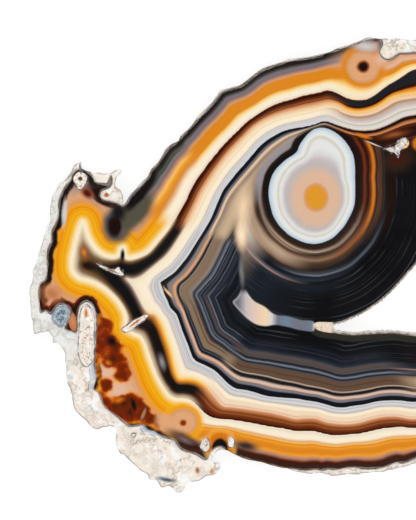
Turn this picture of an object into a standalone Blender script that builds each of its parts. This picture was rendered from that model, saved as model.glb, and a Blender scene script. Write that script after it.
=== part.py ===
"""A banded agate: one polished slice of a nodule, sawn right through its open, crystal-lined hollow.

The slice lies on its sawn back face, polished face up. X runs right across the polished face, Y runs
up it and Z rises from the back face. The origin is under the middle of the slice. Every outline is
traced in millimetres from the centre of the slice's round white eye, and is moved to the origin when
its solid is made."""

import bpy
import numpy as np
from mathutils import Vector, noise
from mathutils.geometry import delaunay_2d_cdt

# Driving dimensions, in millimetres.
THICKNESS = 6.0
MATRIX_DROP = 0.45
EDGE_BREAK = 0.15
WALL_LEAN = 0.9
WALL_ROUGHNESS = 0.7
CRUST_GAP = 0.3
CRUST_WIDTH = 0.85
CRUST_TIP_X = 4.4
CRUST_SINK = 0.25
CRYSTAL_REACH = 0.45

# Spacing of the mesh points, in millimetres.
RIM_SPACING = 1.7
HOLLOW_SPACING = 2.0
CRYSTAL_SPACING = 1.05
SKIN_SPACING = 1.6
SKIN_STEP = 0.4
PIT_SPACING = 0.9
MATRIX_SPACING = 2.1

MILLIMETRE = 0.001
ROOM_STEPS = np.arange(0.3, 3.1, 0.3)

# Rings of the outer wall, from the back face up: height as a share of the thickness, and how much of
# the wall's lean and roughness the ring takes.
RIM_RINGS = ((0.0, 1.4, 0.6), (0.06, 0.9, 1.0), (0.34, 0.6, 1.0), (0.68, 0.25, 0.8), (0.95, 0.0, 0.0))
HOLLOW_RINGS = (0.0, 0.5, 1.0)
CRUST_RINGS = (0.0, 0.22, 0.45, 0.68, 0.88, 1.0)

# The silhouette, anticlockwise from the top: dark skin down the left, the notch, then the chalky
# matrix with its horns and steps, the skin again along the bottom, and the rounded right end.
RIM = (
    (25, 38.7), (20, 38.9), (16, 38.8), (13, 39.1), (11, 38.3), (7, 36.9), (5, 36.4), (3.5, 35.5),
    (0, 34.7), (-5, 34.0), (-6.5, 34.0), (-8.5, 33.1), (-12.8, 31.7), (-15, 30.3), (-17.5, 28.3),
    (-19, 27.3), (-23.8, 25.9), (-24.6, 25.0), (-26, 22.9), (-28.5, 20.6), (-32, 16.3), (-34, 14.4),
    (-34.3, 13.4), (-36, 12.6), (-37.6, 11.2), (-39.5, 7.9), (-41, 6.6), (-42.2, 4.6), (-45, 1.3),
    (-46.5, -0.3), (-47.6, -2.1), (-48.2, -2.4), (-48.6, -0.6), (-48.9, 1.0), (-50, 2.3),
    (-49.6, 3.8), (-48.5, 6.0), (-50.3, 6.0), (-51.4, 5.2), (-55.8, 5.4), (-58.4, 6.5),
    (-58.6, 8.3), (-59.8, 8.0), (-61.2, 5.7), (-62.6, 3.9), (-64.6, 2.2), (-65.8, 0), (-66.1, -2.2),
    (-66.9, -5), (-66.7, -6.6), (-67.5, -9), (-68.6, -11.5), (-69.9, -17), (-70.7, -19.5),
    (-71, -22), (-71.7, -24.3), (-71.6, -27), (-70.8, -33), (-70.4, -35.2), (-69.4, -35),
    (-67, -34.5), (-66.1, -35.7), (-65.8, -37.4), (-64.6, -37.2), (-63.5, -38.6), (-62.5, -43),
    (-62.5, -46), (-61.1, -51), (-60.5, -53.3), (-59, -55.3), (-55.8, -58.3), (-54.5, -59),
    (-53, -58.5), (-51.3, -58.2), (-50.2, -58.9), (-50.2, -61.8), (-49.5, -63.8), (-46, -66.9),
    (-44.5, -68.5), (-41.9, -70.2), (-41.5, -71.2), (-40, -71.4), (-38.8, -73.2), (-37.2, -73.1),
    (-35.8, -73.6), (-34.6, -74.6), (-33.2, -74.3), (-31.8, -71.8), (-30.7, -71.9), (-27.5, -70.8),
    (-25.5, -70.3), (-24.4, -69.4), (-23.9, -68), (-24.4, -67), (-25.5, -67.2), (-25.6, -66),
    (-25, -64.8), (-24, -63.9), (-22.5, -64), (-18.5, -66), (-13, -67.3), (-9, -68.5),
    (-7, -68.6), (-5.5, -69.3), (0, -70), (6, -70.3), (12, -70.1), (17, -69.4), (25, -67.5),
    (30, -66), (35, -64.4), (40.5, -61.5), (46, -59), (51, -55.2), (56.5, -51.6), (61.5, -46.6),
    (66.5, -41.4), (70.5, -35.6), (74.6, -29.4), (77, -22.5), (79.8, -15.6), (80.6, -8),
    (81.5, -1), (80.4, 6), (78, 13), (74.6, 19.2), (69.5, 24.6), (65, 29), (59, 32.2),
    (53.5, 34.8), (47, 36), (41, 37.6), (35, 37.7), (30, 38.6),
)

# The agate's own outer skin, anticlockwise from the top right. The matrix is what lies outside it.
SKIN = (
    (25, 35.3), (20.9, 35.3), (18, 33.5), (16.7, 34.0), (15.8, 35.3), (16.6, 37.6), (16.4, 40),
    (2, 38), (-8, 35.5), (-25, 28), (-37, 14), (-46, 2), (-47.5, -1.5), (-48.6, -2.9), (-52, -1.9),
    (-54.1, -0.4), (-52.8, 1.2), (-51.0, 2.9), (-51.2, 4.4), (-52.0, 2.4), (-55.4, 3.0),
    (-57.2, 5.6), (-59, 6.0), (-60.6, 5.3), (-61.2, 3.6), (-63.4, 0.4), (-64.1, -1.5),
    (-64.6, -6.6), (-65.9, -9.5), (-66.0, -12), (-67.2, -15.5), (-67.6, -21.5), (-68.8, -22.4),
    (-69.2, -25), (-68.7, -29.6), (-67.6, -29.0), (-66.3, -29.9), (-64.4, -27.6), (-62.8, -27.5),
    (-61.1, -29.6), (-62.7, -33.7), (-60.0, -34.8), (-59.7, -31), (-58.8, -27.4), (-57.4, -26.7),
    (-56.0, -27.5), (-54.7, -32), (-55.3, -43), (-55.0, -46), (-55.6, -48.8), (-53.8, -50.8),
    (-52, -54), (-46.5, -58), (-43, -57.8), (-42.2, -58.9), (-35.5, -61.4), (-32.8, -64.2),
    (-27.5, -66.3), (-26, -64), (-24, -63), (-20, -65.2), (-13, -67.1), (-5.5, -68.7), (0, -68.7),
    (9.5, -68.2), (17, -68.3), (25, -66), (32, -63.8), (40, -60.3), (50, -54.8), (59, -47.3),
    (66.5, -39.3), (72.5, -30.5), (77, -20.5), (79.3, -10), (80.3, 0), (78.3, 9.5), (74, 18.5),
    (68, 25), (60.5, 29.7), (52, 32.6), (44, 33.4), (36, 34), (30, 35),
)

# The open hollow, anticlockwise from its pointed left end: along the bottom, up and back.
HOLLOW = (
    (-0.7, -32.6), (-0.4, -33.4), (1.2, -34.3), (4, -34.75), (7, -35.2), (10, -35.35),
    (13, -35.15), (19, -34.95), (25, -35.6), (28.5, -35.8), (33, -35), (39.5, -32.8), (46, -29),
    (51.4, -24.2), (55.6, -18), (57.4, -11), (57.6, -4), (55.4, 2.6), (51.2, 8.4), (46, 11.8),
    (40, 13.2), (35, 12.6), (31.4, 10.6), (29.8, 7), (30.3, -2), (29.4, -7.5), (27.6, -12.5),
    (25, -16.8), (22.5, -19.6), (18, -24.5), (13, -28.4), (8, -31), (5, -31.95), (0, -32.1),
)

# Pits in the polished face: outline, and depth in millimetres.
PITS = {
    "blue_vug": (((-66.2, -30.5), (-65.8, -31.8), (-64.2, -33.3), (-63.0, -33.0), (-61.7, -30.2),
                  (-61.9, -28.6), (-62.9, -27.8), (-64.5, -28.2)), 1.5),
    "long_vug": (((-57.4, -27.5), (-58.7, -28.6), (-59.3, -34), (-59.3, -41), (-57.5, -43.3),
                  (-55.8, -41.8), (-55.4, -36), (-55.6, -30)), 0.6),
    "round_vug": (((-60.8, 3.6), (-60.1, 2.2), (-59.1, 1.0), (-57.8, 2.3), (-57.1, 3.7),
                   (-57.7, 5.0), (-58.9, 5.6), (-60.2, 5.1)), 0.6),
    "upper_cleft": (((-55.2, -17.2), (-53, -18.9), (-49, -20.4), (-47.9, -20.4), (-48.8, -18.9),
                     (-49.3, -18.2), (-50.6, -18.9), (-53, -17.9)), 0.9),
    "lower_cleft": (((-48.7, -34.0), (-47.4, -34.7), (-43.5, -32), (-41.8, -30.6), (-42.2, -30.0),
                     (-44.6, -31), (-48.2, -33.3)), 0.9),
    "star_vug": (((16.9, 11.4), (18.6, 10.5), (19.7, 10.3), (20.6, 8.9), (21.2, 10.9),
                  (23, 13), (22.4, 14), (20.4, 13.4), (19.6, 12)), 1.0),
    "foot_vug": (((-27.3, -60.8), (-28.8, -62), (-29, -63.5), (-27.6, -64.6), (-26.5, -63.4)), 0.9),
    "brown_vug": (((-21.4, -60.4), (-22.1, -62), (-21.6, -63.4), (-20.6, -63.2), (-20.3, -61.5)), 0.7),
    "pin_hole": (((-46.4, -60.3), (-45.6, -61), (-44.9, -60.3), (-45.6, -59.6)), 0.6),
}


def smooth_loop(points, spacing):
    """A closed centripetal Catmull-Rom curve through the points, with a point about every spacing."""
    p1 = np.array(points, float)
    p0, p2, p3 = (np.roll(p1, shift, axis=0) for shift in (1, -1, -2))
    d01, d12, d23 = (
        np.sqrt(np.linalg.norm(b - a, axis=1))[:, None] for a, b in ((p0, p1), (p1, p2), (p2, p3))
    )
    leave = p2 - p1 + d12 * ((p1 - p0) / d01 - (p2 - p0) / (d01 + d12))
    arrive = p2 - p1 + d12 * ((p3 - p2) / d23 - (p3 - p1) / (d12 + d23))
    loop = []
    for a, b, m, n in zip(p1, p2, leave, arrive):
        count = max(1, round(np.linalg.norm(b - a) / spacing))
        u = np.arange(count)[:, None] / count
        cubic, square = u**3, u**2
        loop.append(
            (2 * cubic - 3 * square + 1) * a
            + (cubic - 2 * square + u) * m
            + (3 * square - 2 * cubic) * b
            + (cubic - square) * n
        )
    return np.concatenate(loop)


def distance(points, loop):
    """Distance of each point from the nearest side of a closed loop."""
    points = np.asarray(points, float)[:, None]
    side = np.roll(loop, -1, axis=0) - loop
    along = ((points - loop) * side).sum(2) / (side * side).sum(1)
    nearest = loop + np.clip(along, 0, 1)[..., None] * side
    return np.linalg.norm(points - nearest, axis=2).min(1)


def inside(points, loop):
    """Whether a line to the right of each point crosses the loop an odd number of times."""
    x, y = np.asarray(points, float)[:, None].transpose(2, 0, 1)
    after = np.roll(loop, -1, axis=0)
    spans = (loop[:, 1] > y) != (after[:, 1] > y)
    rise = np.where(after[:, 1] == loop[:, 1], 1, after[:, 1] - loop[:, 1])
    crossing = loop[:, 0] + (y - loop[:, 1]) * (after[:, 0] - loop[:, 0]) / rise
    return (spans & (x < crossing)).sum(1) % 2 == 1


def left_normals(loop):
    """Unit normals to the left of the path, which is into an anticlockwise loop."""
    way = np.roll(loop, -1, axis=0) - np.roll(loop, 1, axis=0)
    return np.stack([-way[:, 1], way[:, 0]], axis=1) / np.linalg.norm(way, axis=1)[:, None]


def room(loop):
    """How far each point of an anticlockwise loop can move inwards before it nears another side."""
    normals = left_normals(loop)
    reach = np.zeros(len(loop))
    free = np.ones(len(loop), bool)
    for step in ROOM_STEPS:
        free &= distance(loop + step * normals, loop) > 0.75 * step
        reach[free] = step
    return np.minimum(np.minimum(np.roll(reach, 1), reach), np.roll(reach, -1))


def hex_grid(loop, spacing):
    """Points of a triangular grid that lie inside a loop."""
    low, high = loop.min(0), loop.max(0)
    x, y = np.meshgrid(np.arange(low[0], high[0], spacing), np.arange(low[1], high[1], spacing * 0.866))
    x[1::2] += spacing / 2
    grid = np.stack([x.ravel(), y.ravel()], axis=1)
    return grid[inside(grid, loop)]


def ripple(points, scale, seed):
    """Smooth noise from -1 to 1 over points in the plane, whose lumps are about scale across."""
    return np.array([noise.noise(Vector((x / scale, y / scale, seed))) for x, y in points])


def ease(value):
    """0 below 0, 1 above 1, and a smooth step between."""
    value = np.clip(value, 0, 1)
    return value * value * (3 - 2 * value)


def face_height(points):
    """Height of the polished face: level on the agate, lower on the soft matrix, lower in each pit."""
    outside = np.where(inside(points, skin), 0, distance(points, skin))
    matrix = ease(outside / SKIN_STEP)
    height = THICKNESS - matrix * MATRIX_DROP * (1 + 0.5 * ripple(points, 3.5, 1.5))
    for loop, depth in pits:
        within = np.where(inside(points, loop), distance(points, loop), 0)
        height -= depth * ease(within / SKIN_STEP) * (0.8 + 0.4 * ripple(points, 0.9, 7.5))
    return height


def fill_points(rim, hollow):
    """Free points of the polished face, laid along the skin's step, in the pits and on the matrix."""
    normals = left_normals(skin)
    wanted = [(skin, 0.35), (skin - SKIN_STEP * normals, 0.35)]
    for loop, _ in pits:
        wanted += [(loop, 0.35), (hex_grid(loop, PIT_SPACING), 0.4)]
    matrix = hex_grid(rim, MATRIX_SPACING)
    wanted.append((matrix[~inside(matrix, skin)], MATRIX_SPACING / 2))
    kept = np.concatenate([rim, hollow])
    fixed = len(kept)
    for points, gap in wanted:
        points = points[inside(points, rim) & ~inside(points, hollow)]
        for point in points:
            if np.linalg.norm(kept - point, axis=1).min() > gap:
                kept = np.concatenate([kept, [point]])
    return kept[fixed:]


def cap(outer, inner, free):
    """Triangles between two loops and through the free points, as indexes into all three, joined."""
    points = np.concatenate([outer, inner, free])
    rings = (np.arange(len(outer)), np.arange(len(inner)) + len(outer))
    edges = [(int(a), int(b)) for ring in rings for a, b in zip(ring, np.roll(ring, -1))]
    _, _, faces, origins, _, _ = delaunay_2d_cdt([Vector(point) for point in points], edges, [], 1, 1e-7)
    faces = np.array([[origins[corner][0] for corner in face] for face in faces])
    middles = points[faces].mean(1)
    return faces[inside(middles, outer) & ~inside(middles, inner)]


def wall(count, levels, first):
    """Triangles that join rings of points, each ring stacked on the one before, facing right of them."""
    here = np.arange(count)
    after = np.roll(here, -1)
    bands = []
    for level in range(levels - 1):
        low, high = first + level * count, first + (level + 1) * count
        bands += [
            np.stack([low + here, low + after, high + after], axis=1),
            np.stack([low + here, high + after, high + here], axis=1),
        ]
    return np.concatenate(bands)


def plate(name, outer, inner, free, material):
    """A closed body from the rings of its outer wall, of its inner wall, and its top face's free points."""
    outer_count, inner_count = len(outer[0]), len(inner[0])
    points = np.concatenate([*outer, *inner, free])
    inner_first = len(outer) * outer_count
    free_first = inner_first + len(inner) * inner_count

    def placed(faces, outer_start, inner_start):
        turned = np.where(faces < outer_count, faces + outer_start, faces - outer_count + inner_start)
        over = faces >= outer_count + inner_count
        return np.where(over, faces - outer_count - inner_count + free_first, turned)

    top = cap(outer[-1][:, :2], inner[-1][:, :2], free[:, :2])
    bottom = cap(outer[0][:, :2], inner[0][:, :2], free[:0, :2])
    faces = np.concatenate([
        placed(top, inner_first - outer_count, free_first - inner_count),
        placed(bottom, 0, inner_first)[:, ::-1],
        wall(outer_count, len(outer), 0),
        wall(inner_count, len(inner), inner_first)[:, ::-1],
    ])
    mesh = bpy.data.meshes.new(name)
    points[:, :2] -= centre
    mesh.from_pydata((points * MILLIMETRE).tolist(), [], faces.tolist())
    mesh.update()
    mesh.shade_smooth()
    mesh.set_sharp_from_angle(angle=np.radians(30))
    mesh.materials.append(material)
    piece = bpy.data.objects.new(name, mesh)
    bpy.context.scene.collection.objects.link(piece)
    return piece


def raised(loop, height):
    """Points of a loop with their heights."""
    return np.column_stack([loop, np.broadcast_to(height, len(loop))])


def finish(name, colour, roughness):
    """A plain material."""
    material = bpy.data.materials.new(name)
    material.use_nodes = True
    shader = material.node_tree.nodes["Principled BSDF"]
    shader.inputs["Base Color"].default_value = (*colour, 1)
    shader.inputs["Roughness"].default_value = roughness
    return material


def slab():
    """The stone itself: a rough rim that leans in towards the back, and a clean wall round the hollow."""
    reach = np.minimum(room(rim) / ROOM_STEPS[-1], 1)
    normals = left_normals(rim)
    leaning = WALL_LEAN * (1 + 0.9 * ripple(rim, 13, 2.5))
    rings = []
    for share, lean, rough in RIM_RINGS:
        lumps = WALL_ROUGHNESS * rough * (0.5 + 0.8 * ripple(rim, 2.6, 5 + 3 * share))
        inset = reach * (leaning * lean + np.maximum(lumps, 0))
        rings.append(raised(rim + inset[:, None] * normals, share * THICKNESS))
    edge = rim + (EDGE_BREAK * np.maximum(reach, 0.4))[:, None] * normals
    rings.append(raised(edge, face_height(edge)))
    free = fill_points(edge, hollow)
    inner = [raised(hollow, share * THICKNESS) for share in HOLLOW_RINGS]
    inner[-1] = raised(hollow, face_height(hollow))
    return plate("agate_slab", rings, inner, raised(free, face_height(free)),
                 finish("banded_stone", (0.32, 0.16, 0.06), 0.12))


def crystal_wall():
    """The rings of the crust's open side: the crust's own width from the stone, with crystals set on it."""
    base = smooth_loop(HOLLOW, CRYSTAL_SPACING)
    normals = left_normals(base)
    width = CRUST_WIDTH + 0.15 * normals[:, 1]
    edge = base + width[:, None] * normals
    keep = (distance(edge, base) > 0.97 * width) & (edge[:, 0] > CRUST_TIP_X + 0.4)
    edge, normals = edge[keep], normals[keep]
    tip = np.array([[CRUST_TIP_X, -33.0]])
    edge, normals = np.concatenate([tip, edge]), np.concatenate([[[1.0, 0.0]], normals])
    chance = np.random.default_rng(11)
    rings = []
    for level, share in enumerate(CRUST_RINGS):
        even = (np.arange(len(edge)) + level) % 2 == 0
        grown = np.where(even, chance.uniform(0.25, 1, len(edge)), 0) * CRYSTAL_REACH
        height = CRUST_SINK + share * (THICKNESS - 2 * CRUST_SINK)
        rings.append(raised(edge + (grown - CRYSTAL_REACH / 2)[:, None] * normals, height))
    return rings


def crust():
    """The druse that lines the hollow: a skin of small crystals that fills the hollow's pointed end."""
    back = smooth_loop(HOLLOW, HOLLOW_SPACING)
    back = back + CRUST_GAP * left_normals(back)
    heights = (CRUST_SINK, THICKNESS - CRUST_SINK)
    outer = [raised(back, height) for height in heights]
    return plate("crystal_crust", outer, crystal_wall(), np.empty((0, 3)),
                 finish("druse", (0.8, 0.78, 0.74), 0.3))


for leftover in list(bpy.data.objects):
    bpy.data.objects.remove(leftover)

rim = smooth_loop(RIM, RIM_SPACING)
hollow = smooth_loop(HOLLOW, HOLLOW_SPACING)
skin = smooth_loop(SKIN, SKIN_SPACING)
pits = [(smooth_loop(outline, PIT_SPACING), depth) for outline, depth in PITS.values()]
centre = (rim.min(0) + rim.max(0)) / 2

slab()
crust()
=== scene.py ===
# %% [markdown]
# A slice of banded agate, in cells
#
# An agate grows inwards. Silica coats the wall of a hole in the rock, layer upon layer, and each
# layer repeats the outline of the one before it. A sawn and polished slice shows the layers as bands
# that all run side by side, round corners and bumps too. This lesson builds such a slice the same
# way: it draws a few growth lines, works out for every point how far it lies from each, and
# lets colour ramps read those distances. No picture is used.
#
# The imported solids come first. They say where the stone and the crust of crystals are, and every
# piece below is made in their frame, in metres.

# %% The frame
import math

import bpy
import numpy as np
from mathutils.geometry import delaunay_2d_cdt
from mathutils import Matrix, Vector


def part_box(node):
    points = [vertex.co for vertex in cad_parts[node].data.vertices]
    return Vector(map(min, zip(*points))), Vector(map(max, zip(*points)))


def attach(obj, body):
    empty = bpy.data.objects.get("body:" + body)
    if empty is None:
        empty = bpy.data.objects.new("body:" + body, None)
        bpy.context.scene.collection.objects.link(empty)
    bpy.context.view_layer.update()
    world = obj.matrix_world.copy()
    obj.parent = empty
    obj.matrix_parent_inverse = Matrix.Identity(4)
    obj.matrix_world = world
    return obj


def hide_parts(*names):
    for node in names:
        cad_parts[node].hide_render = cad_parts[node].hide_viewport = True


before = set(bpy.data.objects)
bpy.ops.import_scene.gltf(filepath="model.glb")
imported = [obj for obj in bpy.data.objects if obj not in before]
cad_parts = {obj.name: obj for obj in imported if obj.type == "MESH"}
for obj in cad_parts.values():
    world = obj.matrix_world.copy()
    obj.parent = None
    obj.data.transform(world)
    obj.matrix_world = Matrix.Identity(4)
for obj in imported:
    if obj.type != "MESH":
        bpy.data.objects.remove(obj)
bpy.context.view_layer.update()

SLAB_LOW, SLAB_HIGH = (np.array(corner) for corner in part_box("agate_slab"))
print("the solid slab runs from", SLAB_LOW, "to", SLAB_HIGH)

# %% [markdown]
# Every outline below is written in millimetres from the middle of the round white eye, because that
# is how a slice is drawn from a photograph. The frame's origin is under the middle of the slab, so
# the shift between the two is the middle of the outline's own box.

# %% Sizes, in millimetres
MM = 0.001
THICKNESS = (SLAB_HIGH[2] - SLAB_LOW[2]) / MM
POLISHED_DETAIL = 0.42
PLAIN_DETAIL = 0.85
PIT_DETAIL = 0.24
RIM_DETAIL = 0.45
PHOTO_EDGE_X = 26.0
MATRIX_DROP = 0.45
STEP_WIDTH = 0.4
EDGE_BREAK = 0.12
# How far the layers move sideways for each millimetre down.
DIP = np.array([0.22, -0.12])
print("the slab is", round(THICKNESS, 2), "mm thick")

# %% [markdown]
# The rim is the nodule's own skin and the pale rock it grew in. The list goes anticlockwise from the
# top: dark skin down the left, the notch, the horns and steps of the chalky matrix, the skin again
# along the bottom, and the rounded right end, which no photograph shows and which is made plain.

# %% The rim, the skin and the hollow
RIM = (
    (25, 38.7), (20, 38.9), (16, 38.8), (13, 39.1), (11, 38.3), (7, 36.9), (5, 36.4), (3.5, 35.5),
    (0, 34.7), (-5, 34.0), (-6.5, 34.0), (-8.5, 33.1), (-12.8, 31.7), (-15, 30.3), (-17.5, 28.3),
    (-19, 27.3), (-23.8, 25.9), (-24.6, 25.0), (-26, 22.9), (-28.5, 20.6), (-32, 16.3), (-34, 14.4),
    (-34.3, 13.4), (-36, 12.6), (-37.6, 11.2), (-39.5, 7.9), (-41, 6.6), (-42.2, 4.6), (-45, 1.3),
    (-46.5, -0.3), (-47.6, -2.1), (-48.2, -2.4), (-48.6, -0.6), (-48.9, 1.0), (-50, 2.3),
    (-49.6, 3.8), (-48.5, 6.0), (-50.3, 6.0), (-51.4, 5.2), (-55.8, 5.4), (-58.4, 6.5),
    (-58.6, 8.3), (-59.8, 8.0), (-61.2, 5.7), (-62.6, 3.9), (-64.6, 2.2), (-65.8, 0), (-66.1, -2.2),
    (-66.9, -5), (-66.7, -6.6), (-67.5, -9), (-68.6, -11.5), (-69.9, -17), (-70.7, -19.5),
    (-71, -22), (-71.7, -24.3), (-71.6, -27), (-70.8, -33), (-70.4, -35.2), (-69.4, -35),
    (-67, -34.5), (-66.1, -35.7), (-65.8, -37.4), (-64.6, -37.2), (-63.5, -38.6), (-62.5, -43),
    (-62.5, -46), (-61.1, -51), (-60.5, -53.3), (-59, -55.3), (-55.8, -58.3), (-54.5, -59),
    (-53, -58.5), (-51.3, -58.2), (-50.2, -58.9), (-50.2, -61.8), (-49.5, -63.8), (-46, -66.9),
    (-44.5, -68.5), (-41.9, -70.2), (-41.5, -71.2), (-40, -71.4), (-38.8, -73.2), (-37.2, -73.1),
    (-35.8, -73.6), (-34.6, -74.6), (-33.2, -74.3), (-31.8, -71.8), (-30.7, -71.9), (-27.5, -70.8),
    (-25.5, -70.3), (-24.4, -69.4), (-23.9, -68), (-24.4, -67), (-25.5, -67.2), (-25.6, -66),
    (-25, -64.8), (-24, -63.9), (-22.5, -64), (-18.5, -66), (-13, -67.3), (-9, -68.5),
    (-7, -68.6), (-5.5, -69.3), (0, -70), (6, -70.3), (12, -70.1), (17, -69.4), (25, -67.5),
    (30, -66), (35, -64.4), (40.5, -61.5), (46, -59), (51, -55.2), (56.5, -51.6), (61.5, -46.6),
    (66.5, -41.4), (70.5, -35.6), (74.6, -29.4), (77, -22.5), (79.8, -15.6), (80.6, -8),
    (81.5, -1), (80.4, 6), (78, 13), (74.6, 19.2), (69.5, 24.6), (65, 29), (59, 32.2),
    (53.5, 34.8), (47, 36), (41, 37.6), (35, 37.7), (30, 38.6),
)

# The agate's outermost layer. What lies outside it, as far as the rim, is matrix.
SKIN = (
    (25, 35.3), (22.5, 35.2), (20.9, 35.3), (19.7, 34.3), (18, 33.5), (16.7, 34.0), (15.8, 35.3),
    (16.1, 36.5), (16.6, 37.6), (16.4, 38.4), (13, 38.6), (11, 37.8), (5, 35.9), (0, 34.3),
    (-5, 33.5), (-8.5, 32.6), (-12.8, 31.1), (-15, 29.8), (-17.5, 27.8), (-19, 26.8), (-21, 26.2),
    (-23.4, 25.4), (-24.2, 24.6), (-26, 22.3), (-30, 18.1), (-32, 15.9), (-34, 13.8), (-34.5, 13.0),
    (-36, 12.1), (-37.5, 10.6), (-39.7, 7.2), (-41, 5.9), (-42, 4.0), (-45, 0.8), (-46.5, -0.9),
    (-47.6, -2.6), (-48.6, -3.0), (-50, -2.3), (-52, -1.9), (-53.5, -1.4), (-54.1, -0.4),
    (-53.7, 0.8), (-51.7, 1.7), (-51.0, 2.9), (-51.2, 4.4), (-52.0, 2.4), (-54, 2.6), (-55.4, 3.0),
    (-55.8, 4.2), (-57.2, 5.6), (-59, 6.2), (-60.6, 5.3), (-61.2, 3.6), (-62.4, 2.2), (-63.4, 0.4),
    (-64.1, -1.5), (-64.2, -4), (-64.6, -6.6), (-65.9, -9.5), (-66.0, -12), (-66.8, -13.5),
    (-67.2, -15.5), (-67.1, -18), (-67.6, -21.5), (-68.8, -22.4), (-69.2, -25), (-69.0, -28),
    (-68.7, -29.6), (-67.6, -29.0), (-66.3, -29.9), (-65.4, -28.6), (-64.4, -27.6), (-62.8, -27.5),
    (-61.6, -28.2), (-61.1, -29.6), (-61.5, -31.2), (-62.7, -33.7), (-61.2, -34.3), (-60.0, -34.8),
    (-59.6, -33.5), (-59.7, -31), (-59.5, -28.8), (-58.8, -27.4), (-57.4, -26.7), (-56.0, -27.5),
    (-55.1, -29.5), (-54.7, -32), (-55.0, -36), (-55.2, -40), (-55.3, -43), (-55.0, -46),
    (-55.6, -48.8), (-54.6, -49.3), (-53.8, -50.8), (-53.3, -52.5), (-52, -54), (-50, -55.4),
    (-48.5, -56.5), (-46.5, -58), (-44.5, -57.9), (-43, -57.8), (-42.2, -58.9), (-40.5, -59.4),
    (-39, -60.3), (-37, -61.0), (-35.5, -61.4), (-34, -63.3), (-32.8, -64.2), (-30, -65),
    (-28.6, -65.8), (-27.5, -66.3), (-26.8, -65.2), (-26, -64), (-25, -63.2), (-24, -63),
    (-21.7, -64.4), (-20, -65.2), (-16, -66.5), (-13, -67.1), (-9, -68.3), (-5.5, -68.7),
    (-3, -69), (0, -68.7), (1.5, -69), (3, -68.6), (5, -68.8), (9.5, -68.2), (12, -68.6),
    (17, -68.3), (18.5, -67.6), (20, -67), (22, -67.1), (25, -66), (32, -63.8), (40, -60.3),
    (50, -54.8), (59, -47.3), (66.5, -39.3), (72.5, -30.5), (77, -20.5), (79.3, -10), (80.3, 0),
    (78.3, 9.5), (74, 18.5), (68, 25), (60.5, 29.7), (52, 32.6), (44, 33.4), (36, 34), (30, 35),
)

HOLLOW = (
    (-0.7, -32.6), (-0.4, -33.4), (1.2, -34.3), (4, -34.75), (7, -35.2), (10, -35.35),
    (13, -35.15), (19, -34.95), (25, -35.6), (28.5, -35.8), (33, -35), (39.5, -32.8), (46, -29),
    (51.4, -24.2), (55.6, -18), (57.4, -11), (57.6, -4), (55.4, 2.6), (51.2, 8.4), (46, 11.8),
    (40, 13.2), (35, 12.6), (31.4, 10.6), (29.8, 7), (30.3, -2), (29.4, -7.5), (27.6, -12.5),
    (25, -16.8), (22.5, -19.6), (18, -24.5), (13, -28.4), (8, -31), (5, -31.95), (0, -32.1),
)

# %% [markdown]
# Growth lines. Each one is a moment when the water changed and the colour with it: the step from
# cream to brown, from brown back to pale, the crisp step to black, the start of the tan layers, and
# a thin blue line. All of them close round the hollow. The eye grew outwards from a point of its
# own, so it has two lines of its own, and where its layers met the others a blue seam was left.

# %% The growth lines
CREAM_LINE = (
    (25, 31.2), (23, 30.3), (20, 28.3), (18, 27.2), (16.5, 26.1), (15, 24.9), (13, 23.7),
    (11, 23.3), (9, 23.5), (7.5, 24), (5.5, 25.1), (4, 25.7), (2.8, 25.9), (1, 25.4), (-1, 25.0),
    (-5, 23.9), (-7, 23.3), (-10, 22.4), (-12, 21.5), (-16, 18.9), (-20, 15.3), (-24, 11.2),
    (-28, 6), (-30.4, 2.7), (-32.5, -1.8), (-35.3, -6.5), (-38.5, -10.7), (-41.7, -14.4),
    (-43.5, -15.5), (-45.5, -16.1), (-47.3, -16.2), (-48, -15.4), (-48.4, -13.6), (-48.8, -14.6),
    (-49.5, -15.8), (-51, -16.1), (-53, -15.5), (-54.8, -14.3), (-56, -12.8), (-57, -11),
    (-57.8, -8.9), (-58.3, -7.2), (-58.9, -8.8), (-59.6, -11), (-60.3, -14), (-60.8, -17),
    (-60.6, -19.2), (-59.3, -20.6), (-57, -21.3), (-54.5, -22.4), (-52.5, -23.6), (-50.5, -25.4),
    (-49, -27.1), (-47.8, -29), (-47.2, -31), (-47.3, -33), (-45.5, -34.6), (-43.8, -35.3),
    (-42.7, -37), (-41, -41.5), (-39.3, -46), (-38, -48.3), (-36.5, -50.2), (-35, -51),
    (-33, -51.1), (-31, -51.7), (-29.5, -53), (-28, -54.5), (-26.5, -55.5), (-25, -56),
    (-21, -56.4), (-16.5, -57.1), (-11, -58.2), (-8, -58.6), (-5, -59.2), (0, -59.3), (2, -59.8),
    (4, -60.2), (7, -60.2), (10, -59.9), (13, -59.4), (18, -58.4), (21, -58.2), (25, -58.4),
    (32, -56.5), (40, -53), (47, -48.5), (54.5, -42.2), (61, -35), (66.5, -27), (70.5, -18),
    (72.8, -9), (73.4, 0), (71.8, 8), (68, 15.5), (63, 21), (57, 25), (50, 27.5), (43, 28.8),
    (36, 29.8), (30, 31),
)

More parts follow.
